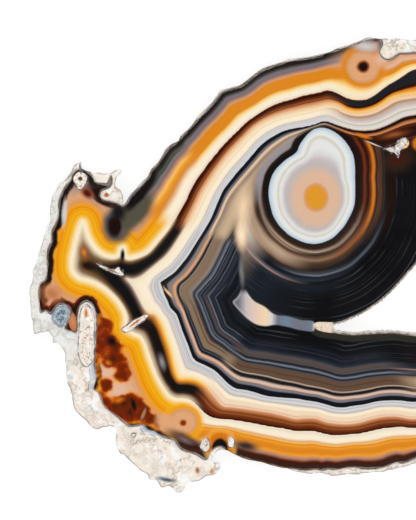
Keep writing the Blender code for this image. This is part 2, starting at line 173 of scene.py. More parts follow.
PALE_LINE = (
    (25, 25), (20, 24.3), (15, 21.5), (12, 20.5), (10, 20.3), (7.5, 20.9), (5.5, 22.1), (3, 22.5),
    (0, 21.9), (-4, 21), (-7.5, 20.2), (-10, 19.5), (-12, 18.7), (-15, 17), (-19, 13.0), (-22, 9.8),
    (-25.5, 5), (-28.6, 0), (-31, -5), (-33.7, -10), (-37, -15), (-39.5, -17.2), (-42, -19.3),
    (-44, -20.8), (-46, -21.4), (-47.4, -21.1), (-46.3, -22.4), (-45.3, -23.8), (-44.5, -25.5),
    (-43.3, -27.8), (-42, -29.6), (-40.2, -30.2), (-38.7, -32.6), (-37.5, -36), (-35.7, -42),
    (-35, -45), (-34.2, -46.2), (-32, -46.3), (-30, -46.7), (-27.8, -48), (-25.8, -50),
    (-24.2, -52), (-23.2, -53), (-21, -53.3), (-14, -54.2), (-8.5, -55.3), (-5, -56.2), (-3, -56),
    (0, -56.1), (2.5, -57), (5, -57.4), (8, -57.5), (11, -57.1), (14, -56.3), (17, -55.6),
    (20, -55.5), (25, -56.2), (32, -54), (39, -50.6), (46, -46), (53, -40), (59, -33),
    (64, -25.5), (67.8, -17), (69.9, -8.5), (70.5, 0), (69, 7), (65.5, 13.5), (61, 18.4),
    (55.5, 22), (49, 24.4), (42, 25.5), (36, 25.6), (30, 25.5),
)

BLACK_LINE = (
    (25, 19.7), (22.5, 19.2), (20, 18.1), (17.5, 16.9), (15, 16), (12.5, 15.7), (10, 15.8),
    (7.5, 16.4), (5, 17.2), (2.5, 18.1), (1.6, 18.1), (0, 17.5), (-2, 16.9), (-6, 16.3), (-8, 15.7),
    (-10, 14.7), (-12, 13.6), (-14, 12), (-17, 8.4), (-20, 5), (-23, 1), (-24, -0.8),
    (-25.8, -5.3), (-28.5, -10), (-31.7, -15.2), (-33.3, -17.3), (-35, -19.2), (-36.8, -20.6),
    (-38.6, -21.9), (-38.9, -22.1), (-38.7, -22.6), (-38, -24.5), (-37.2, -26.5), (-36.4, -28.5),
    (-35, -30), (-34, -32.5), (-33, -35.3), (-31.8, -38.3), (-30.8, -40.7), (-30.4, -41.4),
    (-30.1, -41.7), (-28, -42.6), (-25.5, -44), (-23.5, -45.8), (-21.5, -47.7), (-20, -48.6),
    (-17.5, -49), (-12.5, -50.4), (-10, -50.8), (-5, -51.2), (0, -52), (2.5, -52.6), (5, -53.3),
    (7, -53.4), (9, -53), (12, -52.5), (15, -51.9), (18, -51.6), (21, -51.6), (25, -52),
    (32, -49.8), (38, -47), (44.5, -42.6), (50.5, -37.4), (56, -31), (60.3, -24.2), (63.8, -16.5),
    (65.9, -8.3), (66.4, -0.5), (65, 5.6), (62, 11), (58, 15.2), (53, 18.4), (47.5, 20.4),
    (41, 21), (35, 20.7), (30, 20.2),
)

TAN_LINE = (
    (25, 17.4), (20, 16), (15, 14.2), (10, 14.2), (5, 16), (1.5, 17.1), (-2.5, 15.6), (-5, 14.4),
    (-8, 12.6), (-11, 10.2), (-14, 7), (-16.8, 3.8), (-18.5, 2), (-20, 0), (-21.3, -2),
    (-22.3, -4), (-23.7, -7), (-25, -9.7), (-26.5, -12.5), (-28, -15.5), (-30, -18.5), (-32, -21),
    (-34, -22.8), (-34.3, -24.5), (-33.8, -26), (-33, -27.5), (-32.3, -29), (-31.3, -31.5),
    (-30.2, -34.5), (-29.3, -37), (-28.5, -38.8), (-28.2, -39.1), (-26, -39.9), (-24, -41),
    (-22, -42.5), (-19.3, -44.2), (-17, -44.9), (-12.5, -45.6), (-9, -46.5), (-6, -47.2),
    (-3, -47.8), (0, -48.4), (2, -48.8), (4.5, -49.5), (7, -49.7), (10, -49.4), (13, -48.9),
    (16, -48.2), (19, -48), (22, -48.1), (25, -48.6), (32, -46.8), (37, -44.4), (43, -40.6),
    (48.7, -35.6), (53.8, -29.5), (57.9, -23), (61.3, -15.5), (63.5, -8), (64, -0.8), (62.7, 4.6),
    (60, 9.4), (56.2, 13.2), (51.5, 16), (46.5, 17.8), (41, 18.4), (35, 18.2), (30, 17.9),
)

BLUE_LINE = (
    (25, 15.6), (20, 14), (15, 12.6), (10, 12.8), (5, 15), (1.5, 16.4), (-2.5, 14.6), (-6, 12.6),
    (-10, 9.2), (-13, 6), (-15.4, 3), (-17, 0), (-18.4, -4), (-19.4, -8), (-20.6, -10.4), (-22, -12.8),
    (-23, -15), (-24.5, -18), (-26, -20.7), (-28, -23), (-29.7, -24.9), (-29.8, -25.3), (-29, -27),
    (-28, -29.5), (-27, -32), (-26, -34.6), (-25, -35.9), (-22.5, -37.7), (-20.5, -39.3),
    (-18.8, -40.6), (-17.5, -41.3), (-12.5, -42), (-7.5, -42.9), (-5, -43.3), (0, -44.3),
    (3, -45.1), (5.5, -45.9), (7, -46), (10, -45.7), (13, -45.1), (16, -44.7), (19, -44.5),
    (22, -44.7), (25, -44.9), (32, -43.6), (37, -41.2), (42, -37.8), (47, -33.2), (51.5, -27.6),
    (55.3, -21.4), (58.6, -14.5), (60.8, -7.5), (61.2, -1), (60, 3.6), (57.6, 7.8), (54, 11.2),
    (49.8, 13.8), (45.4, 15.4), (41, 16), (35, 15.9), (30, 15.9),
)

EYE = (
    (1.2, 16.6), (3, 16.3), (5, 15.3), (6.6, 14.0), (8, 12.3), (9, 10.6), (9.6, 8.8), (9.8, 6.5),
    (9.7, 4), (9.8, 2), (9.8, -0.5), (9.5, -2.8), (8.7, -5.2), (7.5, -7.5), (5.8, -9.5),
    (3.8, -11.2), (1.5, -12.2), (-0.7, -12.45), (-3, -12.1), (-5.5, -11), (-7.5, -9.6),
    (-9.4, -7.7), (-10.8, -5.2), (-11.5, -2.5), (-11.8, 0), (-11.6, 2.5), (-10.8, 4.8),
    (-9.4, 6.9), (-7.5, 8.6), (-5.6, 9.8), (-4.8, 10.6), (-4.1, 12.2), (-3.1, 13.7), (-2, 15),
    (-0.5, 16.2),
)

# The side of the seam on which the layers belong to the eye, closed round the eye and its rings.
EYE_SIDE = (
    (0.8, 17.2), (-2.5, 15.9), (-4.5, 14.7), (-8, 12.6), (-11, 10.2), (-14, 7), (-16.6, 3.6),
    (-18.2, 0), (-18.9, -4), (-19.2, -9), (-18.9, -14), (-18.6, -19), (-18.3, -24), (-16.4, -28),
    (-13, -30.6), (-8, -31.6), (-0.7, -32.8), (20, -33), (40, -26), (50, -10), (45, 5), (34, 6.4),
    (25, 7.4), (21, 9.8), (18, 11.5), (12, 13.5), (8, 14.8), (5, 16.3), (2.6, 17.3),
)

LENS = (
    (-20.8, -26.9), (-19.6, -25.6), (-19, -24), (-19.1, -21), (-19.3, -17), (-19.7, -14),
    (-20.3, -11.5), (-17.3, -11.8), (-17.9, -14), (-18.0, -17), (-17.7, -20), (-17.6, -23),
    (-17, -24.8), (-15.5, -26.7), (-13, -28), (-10.4, -29.9), (-7, -30.5), (-4, -31.3),
    (-0.5, -31.9), (-0.5, -34.2), (-4, -34), (-7, -33.3), (-10.4, -32.7), (-12.5, -33),
    (-15, -32.6), (-17.5, -31), (-19.6, -28.8),
)

# %% [markdown]
# Small holes that the silica never filled. Each has an outline and a depth in millimetres.

# %% The pits
PITS = {
    "blue_vug": (((-66.2, -30.5), (-65.8, -31.8), (-64.2, -33.3), (-63.0, -33.0), (-61.7, -30.2),
                  (-61.9, -28.6), (-62.9, -27.8), (-64.5, -28.2)), 1.5),
    "long_vug": (((-57.4, -27.5), (-58.7, -28.6), (-59.3, -34), (-59.3, -41), (-57.5, -43.3),
                  (-55.8, -41.8), (-55.4, -36), (-55.6, -30)), 0.6),
    "round_vug": (((-60.8, 3.6), (-60.1, 2.2), (-59.1, 1.0), (-57.8, 2.3), (-57.1, 3.7),
                   (-57.7, 5.0), (-58.9, 5.6), (-60.2, 5.1)), 0.6),
    "upper_cleft": (((-55.2, -17.2), (-53, -18.9), (-49, -20.4), (-47.9, -20.4), (-48.8, -18.9),
                     (-49.3, -18.2), (-50.6, -18.9), (-53, -17.9)), 0.9),
    "lower_cleft": (((-48.7, -34.0), (-47.4, -34.7), (-43.5, -32), (-41.8, -30.6), (-42.2, -30.0),
                     (-44.6, -31), (-48.2, -33.3)), 0.9),
    "star_vug": (((16.9, 11.4), (18.6, 10.5), (19.7, 10.3), (20.6, 8.9), (21.2, 10.9),
                  (23, 13), (22.4, 14), (20.4, 13.4), (19.6, 12)), 1.0),
    "foot_vug": (((-27.3, -60.8), (-28.8, -62), (-29, -63.5), (-27.6, -64.6), (-26.5, -63.4)), 0.9),
    "brown_vug": (((-21.4, -60.4), (-22.1, -62), (-21.6, -63.4), (-20.6, -63.2), (-20.3, -61.5)), 0.7),
    "pin_hole": (((-46.4, -60.3), (-45.6, -61), (-44.9, -60.3), (-45.6, -59.6)), 0.6),
}

# %% [markdown]
# A few helpers do all the measuring. They draw a smooth closed curve through a list of points, and
# say how far points lie from such a curve, whether they are inside it, and how a smooth noise runs
# over them. Each works on a whole array of points at a time, because the slice has tens of thousands
# of them.

# %% Curves, distances and noise
BLOCK = 100_000


def ease(value):
    """0 below 0, 1 above 1, and between them three squares less two cubes: a smooth step."""
    value = np.clip(value, 0, 1)
    return value * value * (3 - 2 * value)


def smooth_loop(points, spacing):
    """A closed centripetal Catmull-Rom curve: on each stretch a cubic whose end slopes come from the
    neighbouring points, weighted by the square roots of the gaps between them."""
    p1 = np.array(points, float)
    p0, p2, p3 = (np.roll(p1, shift, axis=0) for shift in (1, -1, -2))
    d01, d12, d23 = (
        np.sqrt(np.linalg.norm(b - a, axis=1))[:, None] for a, b in ((p0, p1), (p1, p2), (p2, p3))
    )
    leave = p2 - p1 + d12 * ((p1 - p0) / d01 - (p2 - p0) / (d01 + d12))
    arrive = p2 - p1 + d12 * ((p3 - p2) / d23 - (p3 - p1) / (d12 + d23))
    counts = np.maximum(1, np.round(np.linalg.norm(p2 - p1, axis=1) / spacing).astype(int))
    stretch = np.repeat(np.arange(len(p1)), counts)
    first = np.repeat(np.cumsum(counts) - counts, counts)
    u = ((np.arange(len(stretch)) - first) / counts[stretch])[:, None]
    cubic, square = u**3, u**2
    return (
        (2 * cubic - 3 * square + 1) * p1[stretch]
        + (cubic - 2 * square + u) * leave[stretch]
        + (3 * square - 2 * cubic) * p2[stretch]
        + (cubic - square) * arrive[stretch]
    )


def distance(points, loop):
    """How far each point lies from the nearest side of a closed loop."""
    points, loop = np.float32(points), np.float32(loop)
    side = np.roll(loop, -1, axis=0) - loop
    square = (side * side).sum(1)
    found = []
    for block in np.array_split(points, max(1, len(points) * len(loop) // BLOCK)):
        across = block[:, None, 0] - loop[:, 0]
        up = block[:, None, 1] - loop[:, 1]
        along = np.clip((across * side[:, 0] + up * side[:, 1]) / square, 0, 1)
        across -= along * side[:, 0]
        up -= along * side[:, 1]
        found.append(np.sqrt((across * across + up * up).min(1)))
    return np.concatenate(found)


def inside(points, loop):
    """Whether a line to the right of each point crosses the loop an odd number of times."""
    points, loop = np.float32(points), np.float32(loop)
    after = np.roll(loop, -1, axis=0)
    rise = np.where(after[:, 1] == loop[:, 1], 1, after[:, 1] - loop[:, 1])
    found = []
    for block in np.array_split(points, max(1, len(points) * len(loop) // BLOCK)):
        x, y = block[:, None, 0], block[:, None, 1]
        spans = (loop[:, 1] > y) != (after[:, 1] > y)
        crossing = loop[:, 0] + (y - loop[:, 1]) * (after[:, 0] - loop[:, 0]) / rise
        found.append((spans & (x < crossing)).sum(1) % 2 == 1)
    return np.concatenate(found)


def depth(points, loop):
    """Distance from a loop, counted positive inside it and negative outside it."""
    return np.where(inside(points, loop), 1, -1) * distance(points, loop)


def lumps(points, scale, seed):
    """Smooth noise from -1 to 1: a random height at each corner of a square lattice, eased between."""
    corners = np.random.default_rng(seed).uniform(-1, 1, (128, 128))
    turned = points @ np.array([[0.8, 0.6], [-0.6, 0.8]]) / scale
    cell = np.floor(turned).astype(int)
    across, up = ease(turned - cell).T
    x, y = (cell % 127).T
    low = corners[x, y] * (1 - across) + corners[x + 1, y] * across
    high = corners[x, y + 1] * (1 - across) + corners[x + 1, y + 1] * across
    return low * (1 - up) + high * up


def rough(points, scale, seed, octaves=3):
    """Lumps of several sizes added up, each half as wide and half as high as the one before."""
    return sum(lumps(points, scale / 2**k, seed + k) / 2**k for k in range(octaves))


def left_normals(loop):
    """Unit normals to the left of the path, which is into an anticlockwise loop."""
    way = np.roll(loop, -1, axis=0) - np.roll(loop, 1, axis=0)
    return np.stack([-way[:, 1], way[:, 0]], axis=1) / np.linalg.norm(way, axis=1)[:, None]


def hex_grid(loop, spacing):
    """Points of a triangular grid that lie inside a loop."""
    low, high = loop.min(0), loop.max(0)
    x, y = np.meshgrid(np.arange(low[0], high[0], spacing), np.arange(low[1], high[1], spacing * 0.866))
    x[1::2] += spacing / 2
    grid = np.stack([x.ravel(), y.ravel()], axis=1)
    return grid[inside(grid, loop)]


RIM_SHAPE = smooth_loop(RIM, 1.7)
CENTRE = (RIM_SHAPE.min(0) + RIM_SHAPE.max(0)) / 2
skin = smooth_loop(SKIN, 0.7)
pits = {name: (smooth_loop(outline, 0.4), deep) for name, (outline, deep) in PITS.items()}
print("the eye's middle lies", (-CENTRE).round(2), "mm from the origin; the rim is",
      np.ptp(RIM_SHAPE, axis=0).round(1), "mm")

# %% [markdown]
# The rim of the slice is broken rock, so its edge is rough down to a fraction of a millimetre. The
# curve through the drawn points is moved in and out by noise: a little on the hard skin, more on the
# soft matrix. Points a step in from the edge, and lower, make the worn arris between face and wall.

# %% The rough rim and the face's height
rim = smooth_loop(RIM, RIM_DETAIL)
hollow = smooth_loop(HOLLOW, 0.6)
chalk_at_rim = ease((-depth(rim, skin) - 0.5) / 0.8)
print(len(rim), "points round the rim,", len(hollow), "round the hollow;",
      round(100 * chalk_at_rim.mean()), "% of the rim is chalky")


def bitten(loop, chalk):
    """The rim moved along its normals by noise of 2.4 mm and less, up to 0.1 mm on the hard skin and
    0.35 mm on the matrix, always a little more inwards than outwards."""
    reach = 0.07 + 0.26 * chalk
    return loop + (reach * (0.25 + rough(loop, 2.4, 5, 4)))[:, None] * left_normals(loop)


def face_height(points):
    """Height of the polished face. It is level on the agate and falls over a step at the skin to the
    softer matrix, which is pitted and lumpy. In each pit it falls to the pit's own depth."""
    beyond = np.maximum(-depth(points, skin), 0)
    matrix = ease(beyond / STEP_WIDTH) * (0.35 + 0.65 * ease((beyond - 0.4) / 0.8))
    relief = 1 + 0.55 * rough(points, 3.2, 21, 4)
    pores = 0.55 * ease((rough(points, 1.5, 31, 2) - 0.55) / 0.4)
    height = THICKNESS - matrix * (MATRIX_DROP * relief + pores)
    for loop, deep in pits.values():
        near = np.flatnonzero(((points > loop.min(0)) & (points < loop.max(0))).all(1))
        within = np.maximum(depth(points[near], loop), 0)
        height[near] -= deep * ease(within / STEP_WIDTH) * (0.85 + 0.3 * rough(points[near], 0.9, 41, 2))
    return height


edge_rim = bitten(rim, chalk_at_rim)

# %% [markdown]
# The top face is one sheet of small triangles between the rim and the hollow. A triangular grid
# fills it, finer on the part that shows the bands and finer still in the pits. A constrained
# Delaunay triangulation joins the grid to both edges. It may fill the hollow and the bays of the
# rim too, so triangles whose middle is outside the stone are dropped.

# %% Filling a face with triangles
def free_points(outer, inner, spacing, gap):
    """Grid points inside one loop and outside another, none nearer than the gap to either."""
    grid = hex_grid(outer, spacing)
    grid = grid[~inside(grid, inner)]
    return grid[(distance(grid, outer) > gap) & (distance(grid, inner) > gap)]


def cap(outer, inner, free):
    """Triangles between two loops and through the free points, as indexes into all three, joined."""
    points = np.concatenate([outer, inner, free])
    rings = (np.arange(len(outer)), np.arange(len(inner)) + len(outer))
    edges = [(int(a), int(b)) for ring in rings for a, b in zip(ring, np.roll(ring, -1))]
    _, _, faces, origins, _, _ = delaunay_2d_cdt(points.tolist(), edges, [], 1, 1e-7)
    first = np.array([origin[0] for origin in origins])
    faces = first[np.array(faces)]
    middles = points[faces].mean(1)
    return faces[inside(middles, outer) & ~inside(middles, inner)]


top_rim = edge_rim + EDGE_BREAK * left_normals(edge_rim)
shown = free_points(top_rim, hollow, POLISHED_DETAIL, 0.3)
shown = shown[shown[:, 0] < PHOTO_EDGE_X]
plain = free_points(top_rim, hollow, PLAIN_DETAIL, 0.4)
plain = plain[plain[:, 0] > PHOTO_EDGE_X + 0.5]
pitted = np.concatenate([hex_grid(loop, PIT_DETAIL) for loop, _ in pits.values()])
in_pit = np.zeros(len(shown), bool)
for loop, _ in pits.values():
    in_pit |= inside(shown, loop)
top_free = np.concatenate([shown[~in_pit], plain, pitted])
top_faces = cap(top_rim, hollow, top_free)
print(len(top_faces), "triangles on the polished face")

# %% [markdown]
# The wall round the outside is the nodule's natural surface. It leans in towards the back, because
# the slice was cut from one side of the nodule, and it is knobbly. It is a stack of rings: each ring
# is the rim moved in by a lean and by noise over the wall's own two directions, along and up. A horn
# of the matrix is thin, so no point moves further than the room it has.

# %% The walls
ROOM_STEPS = np.arange(0.3, 3.1, 0.3)
WALL_LEAN = 0.9
WALL_ROUGHNESS = 0.7
# For each ring: its share of the height, and how much of the lean and of the knobs it has.
RIM_RINGS = ((0.0, 1.4, 0.55), (0.03, 1.15, 0.8), (0.14, 0.95, 1.0), (0.28, 0.8, 1.0), (0.43, 0.6, 1.0),
             (0.58, 0.42, 1.0), (0.72, 0.28, 0.9), (0.85, 0.12, 0.6), (0.95, 0.02, 0.25), (1.0, 0.0, 0.0))
HOLLOW_RINGS = (0.0, 0.2, 0.4, 0.6, 0.8, 1.0)


def smoothed(values, rounds):
    """Each value round a loop averaged with its two neighbours, some rounds over."""
    for _ in range(rounds):
        values = (np.roll(values, 1, axis=0) + 2 * values + np.roll(values, -1, axis=0)) / 4
    return values


def room(loop):
    """How far each point of an anticlockwise loop can move inwards before it nears another side."""
    normals = left_normals(loop)
    reach = np.zeros(len(loop))
    free = np.ones(len(loop), bool)
    for step in ROOM_STEPS:
        free &= distance(loop + step * normals, loop) > 0.75 * step
        reach[free] = step
    for _ in range(4):
        reach = np.minimum(np.minimum(np.roll(reach, 1), reach), np.roll(reach, -1))
    return smoothed(reach, 3)


def raised(loop, height):
    """Points of a loop with their heights."""
    return np.column_stack([loop, np.broadcast_to(height, len(loop))])


def rim_wall():
    """Rings of the outer wall from the back up. Each is the rim, moved in by its lean and by noise
    over the distance along the rim and the height, and the last is the arris of the face."""
    reach = np.minimum(room(rim) / ROOM_STEPS[-1], 1) ** 1.4
    normals = smoothed(left_normals(rim), 4)
    along = np.cumsum(np.linalg.norm(rim - np.roll(rim, 1, axis=0), axis=1))
    lean = WALL_LEAN * (1 + 0.6 * lumps(np.column_stack([along, along * 0]), 14, 3))
    top = face_height(top_rim)
    rings = []
    for share, leaning, knobs in RIM_RINGS:
        place = np.column_stack([along, np.full(len(along), share * THICKNESS)])
        inset = lean * leaning + WALL_ROUGHNESS * knobs * np.maximum(rough(place, 2.6, 51, 4), -0.1)
        rings.append(raised(edge_rim + (reach * inset)[:, None] * normals, share * (top - EDGE_BREAK)))
    return rings + [raised(top_rim, top)]


def wall(count, levels, first):
    """Two triangles between each pair of neighbours in stacked rings, facing right of the rings."""
    here = np.arange(count)
    after = np.roll(here, -1)
    low = first + count * np.arange(levels - 1)[:, None]
    high = low + count
    pairs = [(low + here, low + after, high + after), (low + here, high + after, high + here)]
    return np.concatenate([np.stack(corners, axis=2).reshape(-1, 3) for corners in pairs])


outer_rings = rim_wall()
inner_rings = [raised(hollow, share * THICKNESS) for share in HOLLOW_RINGS]
back_free = free_points(outer_rings[0][:, :2], hollow, 0.95, 0.45)
back_faces = cap(outer_rings[0][:, :2], hollow, back_free)
print(len(outer_rings), "rings of the outer wall,", len(back_faces), "triangles on the back")

# %% [markdown]
# The four surfaces share their edges, so they go into one mesh: the rings come first, and each face
# then only has to renumber its corners. The faces are in four groups, one for each finish.

# %% One closed stone
def join(outer, inner, top, top_loose, back, back_loose):
    """Points of all rings and faces, triangles, and the finish of each triangle."""
    count, hole = len(outer[0]), len(inner[0])
    inner_first = len(outer) * count
    top_first = inner_first + len(inner) * hole
    back_first = top_first + len(top_loose)

    def renumber(faces, outer_ring, inner_ring, loose):
        ring = np.where(faces < count, faces + outer_ring, faces - count + inner_ring)
        return np.where(faces < count + hole, ring, faces - count - hole + loose)

    groups = (
        renumber(top, inner_first - count, top_first - hole, top_first),
        wall(count, len(outer), 0),
        renumber(back, 0, inner_first, back_first)[:, ::-1],
        wall(hole, len(inner), inner_first)[:, ::-1],
    )
    points = np.concatenate([*outer, *inner, top_loose, back_loose])
    finish = np.repeat(np.arange(len(groups)), [len(group) for group in groups])
    return points, np.concatenate(groups), finish


slab_points, slab_faces, slab_finish = join(
    outer_rings, inner_rings, top_faces, raised(top_free, face_height(top_free)),
    back_faces, raised(back_free, 0.0),
)
print(len(slab_points), "points and", len(slab_faces), "triangles in the stone")


def placed(points):
    """Drawn millimetres turned into the frame's metres."""
    moved = points.copy()
    moved[:, :2] -= CENTRE
    return moved * MM


def new_object(name, data):
    """An object with the given data, linked to the scene."""
    made = bpy.data.objects.new(name, data)
    bpy.context.scene.collection.objects.link(made)
    return made


def keep(piece, name, values):
    """Stores one number with each point of a piece."""
    piece.data.attributes.new(name, "FLOAT", "POINT").data.foreach_set("value", values.astype(np.float32))


def build(name, points, faces, finish=None, sharp=30):
    """A smooth-shaded mesh object from arrays of points and corners, with sharp edges kept."""
    mesh = bpy.data.meshes.new(name)
    mesh.from_pydata(placed(points).tolist(), [], faces.tolist())
    mesh.update()
    mesh.shade_smooth()
    mesh.set_sharp_from_angle(angle=math.radians(sharp))
    if finish is not None:
        mesh.polygons.foreach_set("material_index", finish.astype(np.int32))
    return new_object(name, mesh)


stone = build("banded_slice", slab_points, slab_faces, slab_finish)

# %% [markdown]
# Now the growth lines are measured from every point. Between two lines that follow each other, the
# share of the way from the outer one to the inner one says which layer the point is in, so the
# layers squeeze together where the lines do, as they do in the stone. One number, growth, counts the
# lines passed plus that share. Distances in millimetres are kept as well, for skins and halos whose
# width stays the same.
#
# On the walls and the back the layers have moved a little, because they dip as they go down.

# %% Growth measured at every point
NODULE_MIDDLE = np.array([-5.0, -17.0])


def facing(points, bearing, half, blur):
    """1 where a point lies within half the given angle of a bearing from the nodule's middle, and
    falling smoothly to 0 over the blur. Angles are in degrees, anticlockwise from the right."""
    across, up = (points - NODULE_MIDDLE).T
    angle = np.degrees(np.arctan2(up, across))
    away = np.abs((angle - bearing + 180) % 360 - 180)
    return ease((half + blur - away) / (2 * blur))


def share(outer, inner):
    """How far along the way from an outer line to an inner one, from the two signed distances."""
    from_outer, to_inner = np.maximum(outer, 0), np.maximum(-inner, 0)
    return from_outer / np.maximum(from_outer + to_inner, 1e-6)


layer_points = slab_points[:, :2] + (THICKNESS - slab_points[:, 2:]) * DIP
layer_points += 0.09 * np.column_stack([lumps(layer_points, 3.1, 61), lumps(layer_points, 3.4, 62)])
skin_depth = depth(layer_points, skin)
lines = [skin_depth]
for line in (CREAM_LINE, PALE_LINE, BLACK_LINE, TAN_LINE, BLUE_LINE):
    lines.append(depth(layer_points, smooth_loop(line, 0.7)))
growth = np.where(skin_depth < 0, skin_depth, 0)
for outer_line, inner_line in zip(lines, lines[1:]):
    growth += np.where(outer_line > 0, share(outer_line, inner_line), 0)
growth += np.where(lines[-1] > 0, lines[-1] / 10, 0)
print("growth runs from", growth.min().round(2), "to", growth.max().round(2))

# %% [markdown]
# The white eye grew outwards from its own middle. Inside it the same share is taken, first from the
# middle to a fine line that follows its edge, then from that line to the edge. Outside it only the
# distance counts, with the direction, because its rings are brown on the left and black on the right.

# %% The eye's own rings
EYE_LINE = (
    (1.0, 14.7), (3, 14.2), (5, 12.8), (6.5, 11), (7.3, 9), (7.5, 6.5), (7.7, 4), (8.3, 2), (8.4, 0),
    (8.1, -3), (7, -5.5), (5.5, -7.8), (3.8, -9.5), (1.5, -10.7), (-0.5, -10.9), (-3, -10.4),
    (-5.3, -9.2), (-7.3, -7.3), (-8.8, -5), (-9.6, -2.5), (-9.8, 0), (-9.5, 2.5), (-8.5, 5), (-7, 7),
    (-5, 8.6), (-3.3, 9.5), (-2.6, 10.7), (-2.1, 12.2), (-0.9, 14),
)
EYE_CORE = np.array([0.0, -0.9])
EYE_STRETCH = np.array([1.0, 0.85])

eye = depth(layer_points, smooth_loop(EYE, 0.5))
eye_line = depth(layer_points, smooth_loop(EYE_LINE, 0.5))
from_core = np.linalg.norm((layer_points - EYE_CORE) * EYE_STRETCH, axis=1)
eye_level = share(from_core, -np.maximum(eye_line, 0))
eye_level += np.where(eye_line < 0, share(-eye_line, -np.maximum(eye, 0)), 0)
bearing = np.degrees(np.arctan2(layer_points[:, 1] + 0.5, layer_points[:, 0]))
bearing = (90 - bearing) % 360 / 360
print("the eye's rings reach", (-eye).max().round(1), "mm")

# %% [markdown]
# Beside the notch, iron has soaked into the layers and left dark red clots in the orange. They are
# drawn as discs that flow together: the depth inside all of them is a soft maximum, blend times the
# logarithm of the sum of exp(depth in one disc / blend). A little noise keeps them from being round.
#
# The pits are kept in the same way, as a depth inside their outlines, but only on the polished face.

# %% Iron clots and pits
CLOTS = (
    (-53.3, -31.4, 1.0), (-52.4, -32.7, 1.3), (-52.4, -34.4, 1.1), (-53.3, -35.6, 1.2),
    (-53.3, -38.0, 1.1), (-53.4, -40.2, 0.8), (-51.6, -37.0, 1.8), (-50.3, -38.6, 1.7),
    (-49.5, -37.8, 1.0), (-50.9, -41.0, 2.2), (-48.9, -41.0, 1.4), (-52.1, -41.9, 1.1),
    (-48.5, -43.4, 1.7), (-48.1, -45.2, 1.8), (-49.4, -45.3, 1.1), (-52.5, -47.8, 1.7),
    (-52.3, -52.2, 1.5), (-50.3, -53.3, 2.1), (-48.3, -52.6, 2.2), (-46.2, -51.5, 2.0),
    (-46.5, -54.5, 2.3), (-44.2, -52.4, 1.5), (-42.8, -54.3, 1.4), (-41.3, -56.1, 1.4),
    (-39.6, -57.5, 1.1), (-49.0, -55.3, 1.5), (-44.0, -55.5, 1.7), (-54.4, -33.6, 1.2),
    (-54.6, -36.6, 1.2), (-54.7, -39.2, 1.0), (-55.0, -41.8, 0.7), (-54.9, -44.6, 0.6),
    (-54.0, -49.9, 0.8),
)
CLOT_BLEND = 0.4
clot_points = layer_points + 0.3 * np.column_stack(
    [rough(layer_points, 1.2, 71, 2), rough(layer_points, 1.2, 73, 2)])
total = np.zeros(len(layer_points))
for x, y, radius in CLOTS:
    outside = np.linalg.norm(clot_points - (x, y), axis=1) - radius
    total += np.exp(np.clip(-outside / CLOT_BLEND, -60, 60))
clots = CLOT_BLEND * np.log(total + 1e-9)

# Points further below the face than this are in no pit.
BELOW_PITS = 2.5
pit_depth = np.full(len(layer_points), -1.0)
blue_pit = np.full(len(layer_points), -1.0)
on_top = np.flatnonzero(slab_points[:, 2] > THICKNESS - BELOW_PITS)
for loop, _ in pits.values():
    pit_depth[on_top] = np.maximum(pit_depth[on_top], depth(slab_points[on_top, :2], loop))
blue_pit[on_top] = depth(slab_points[on_top, :2], pits["blue_vug"][0])
print("clots cover", round(100 * (clots > 0).mean(), 1), "% of the points")

# %% [markdown]
# The numbers are kept with the mesh, one value at each point, so that a material can read them. The
# sides of the nodule are directions from its middle: the bearing, half the angle that the side takes
# up and the blur at its ends, all in degrees. Whatever is at no side counts as the top.

# %% Numbers kept with the mesh
SIDES = {
    "top_right": (20, 56, 7),
    "shoulder": (147, 12, 4),
    "left": (183, 21, 4),
    "lower_left": (218, 18, 5),
    "bottom": (275, 39, 5),
}
# Below this height in the drawing the wedge beside the notch ends and the clots begin.
WEDGE_FOOT = -25.0
FIELDS = {
    "growth": growth,
    "skin_depth": skin_depth,
    "edge_depth": depth(slab_points[:, :2], edge_rim),
    "cream_depth": lines[1],
    "eye_depth": eye,
    "eye_level": eye_level,
    "core_reach": from_core,
    "eye_bearing": bearing,
    "eye_side": depth(layer_points, smooth_loop(EYE_SIDE, 0.7)),
    "lens": depth(layer_points, smooth_loop(LENS, 0.4)),
    "hollow_gap": distance(layer_points, hollow),
    "clots": clots,
    "pit_depth": pit_depth,
    "blue_pit": blue_pit,
    "below_wedge": np.clip((WEDGE_FOOT - layer_points[:, 1]) / 2, 0, 1),
}
for side, spread in SIDES.items():
    FIELDS["at_" + side] = facing(layer_points, *spread)
for name, values in FIELDS.items():
    keep(stone, name, values)
print(len(FIELDS), "numbers kept at each of", len(slab_points), "points")

# %% [markdown]
# A material is a small program of nodes. Each call of the helper below adds a node, or a few, and
# gives back the output, so that a chain of nodes reads like a sum. The colours have names that a
# stone cutter might use, and are written as they look on a screen, from 0 to 255. Blender mixes
# light, not screen values, so each is turned into its linear form first.

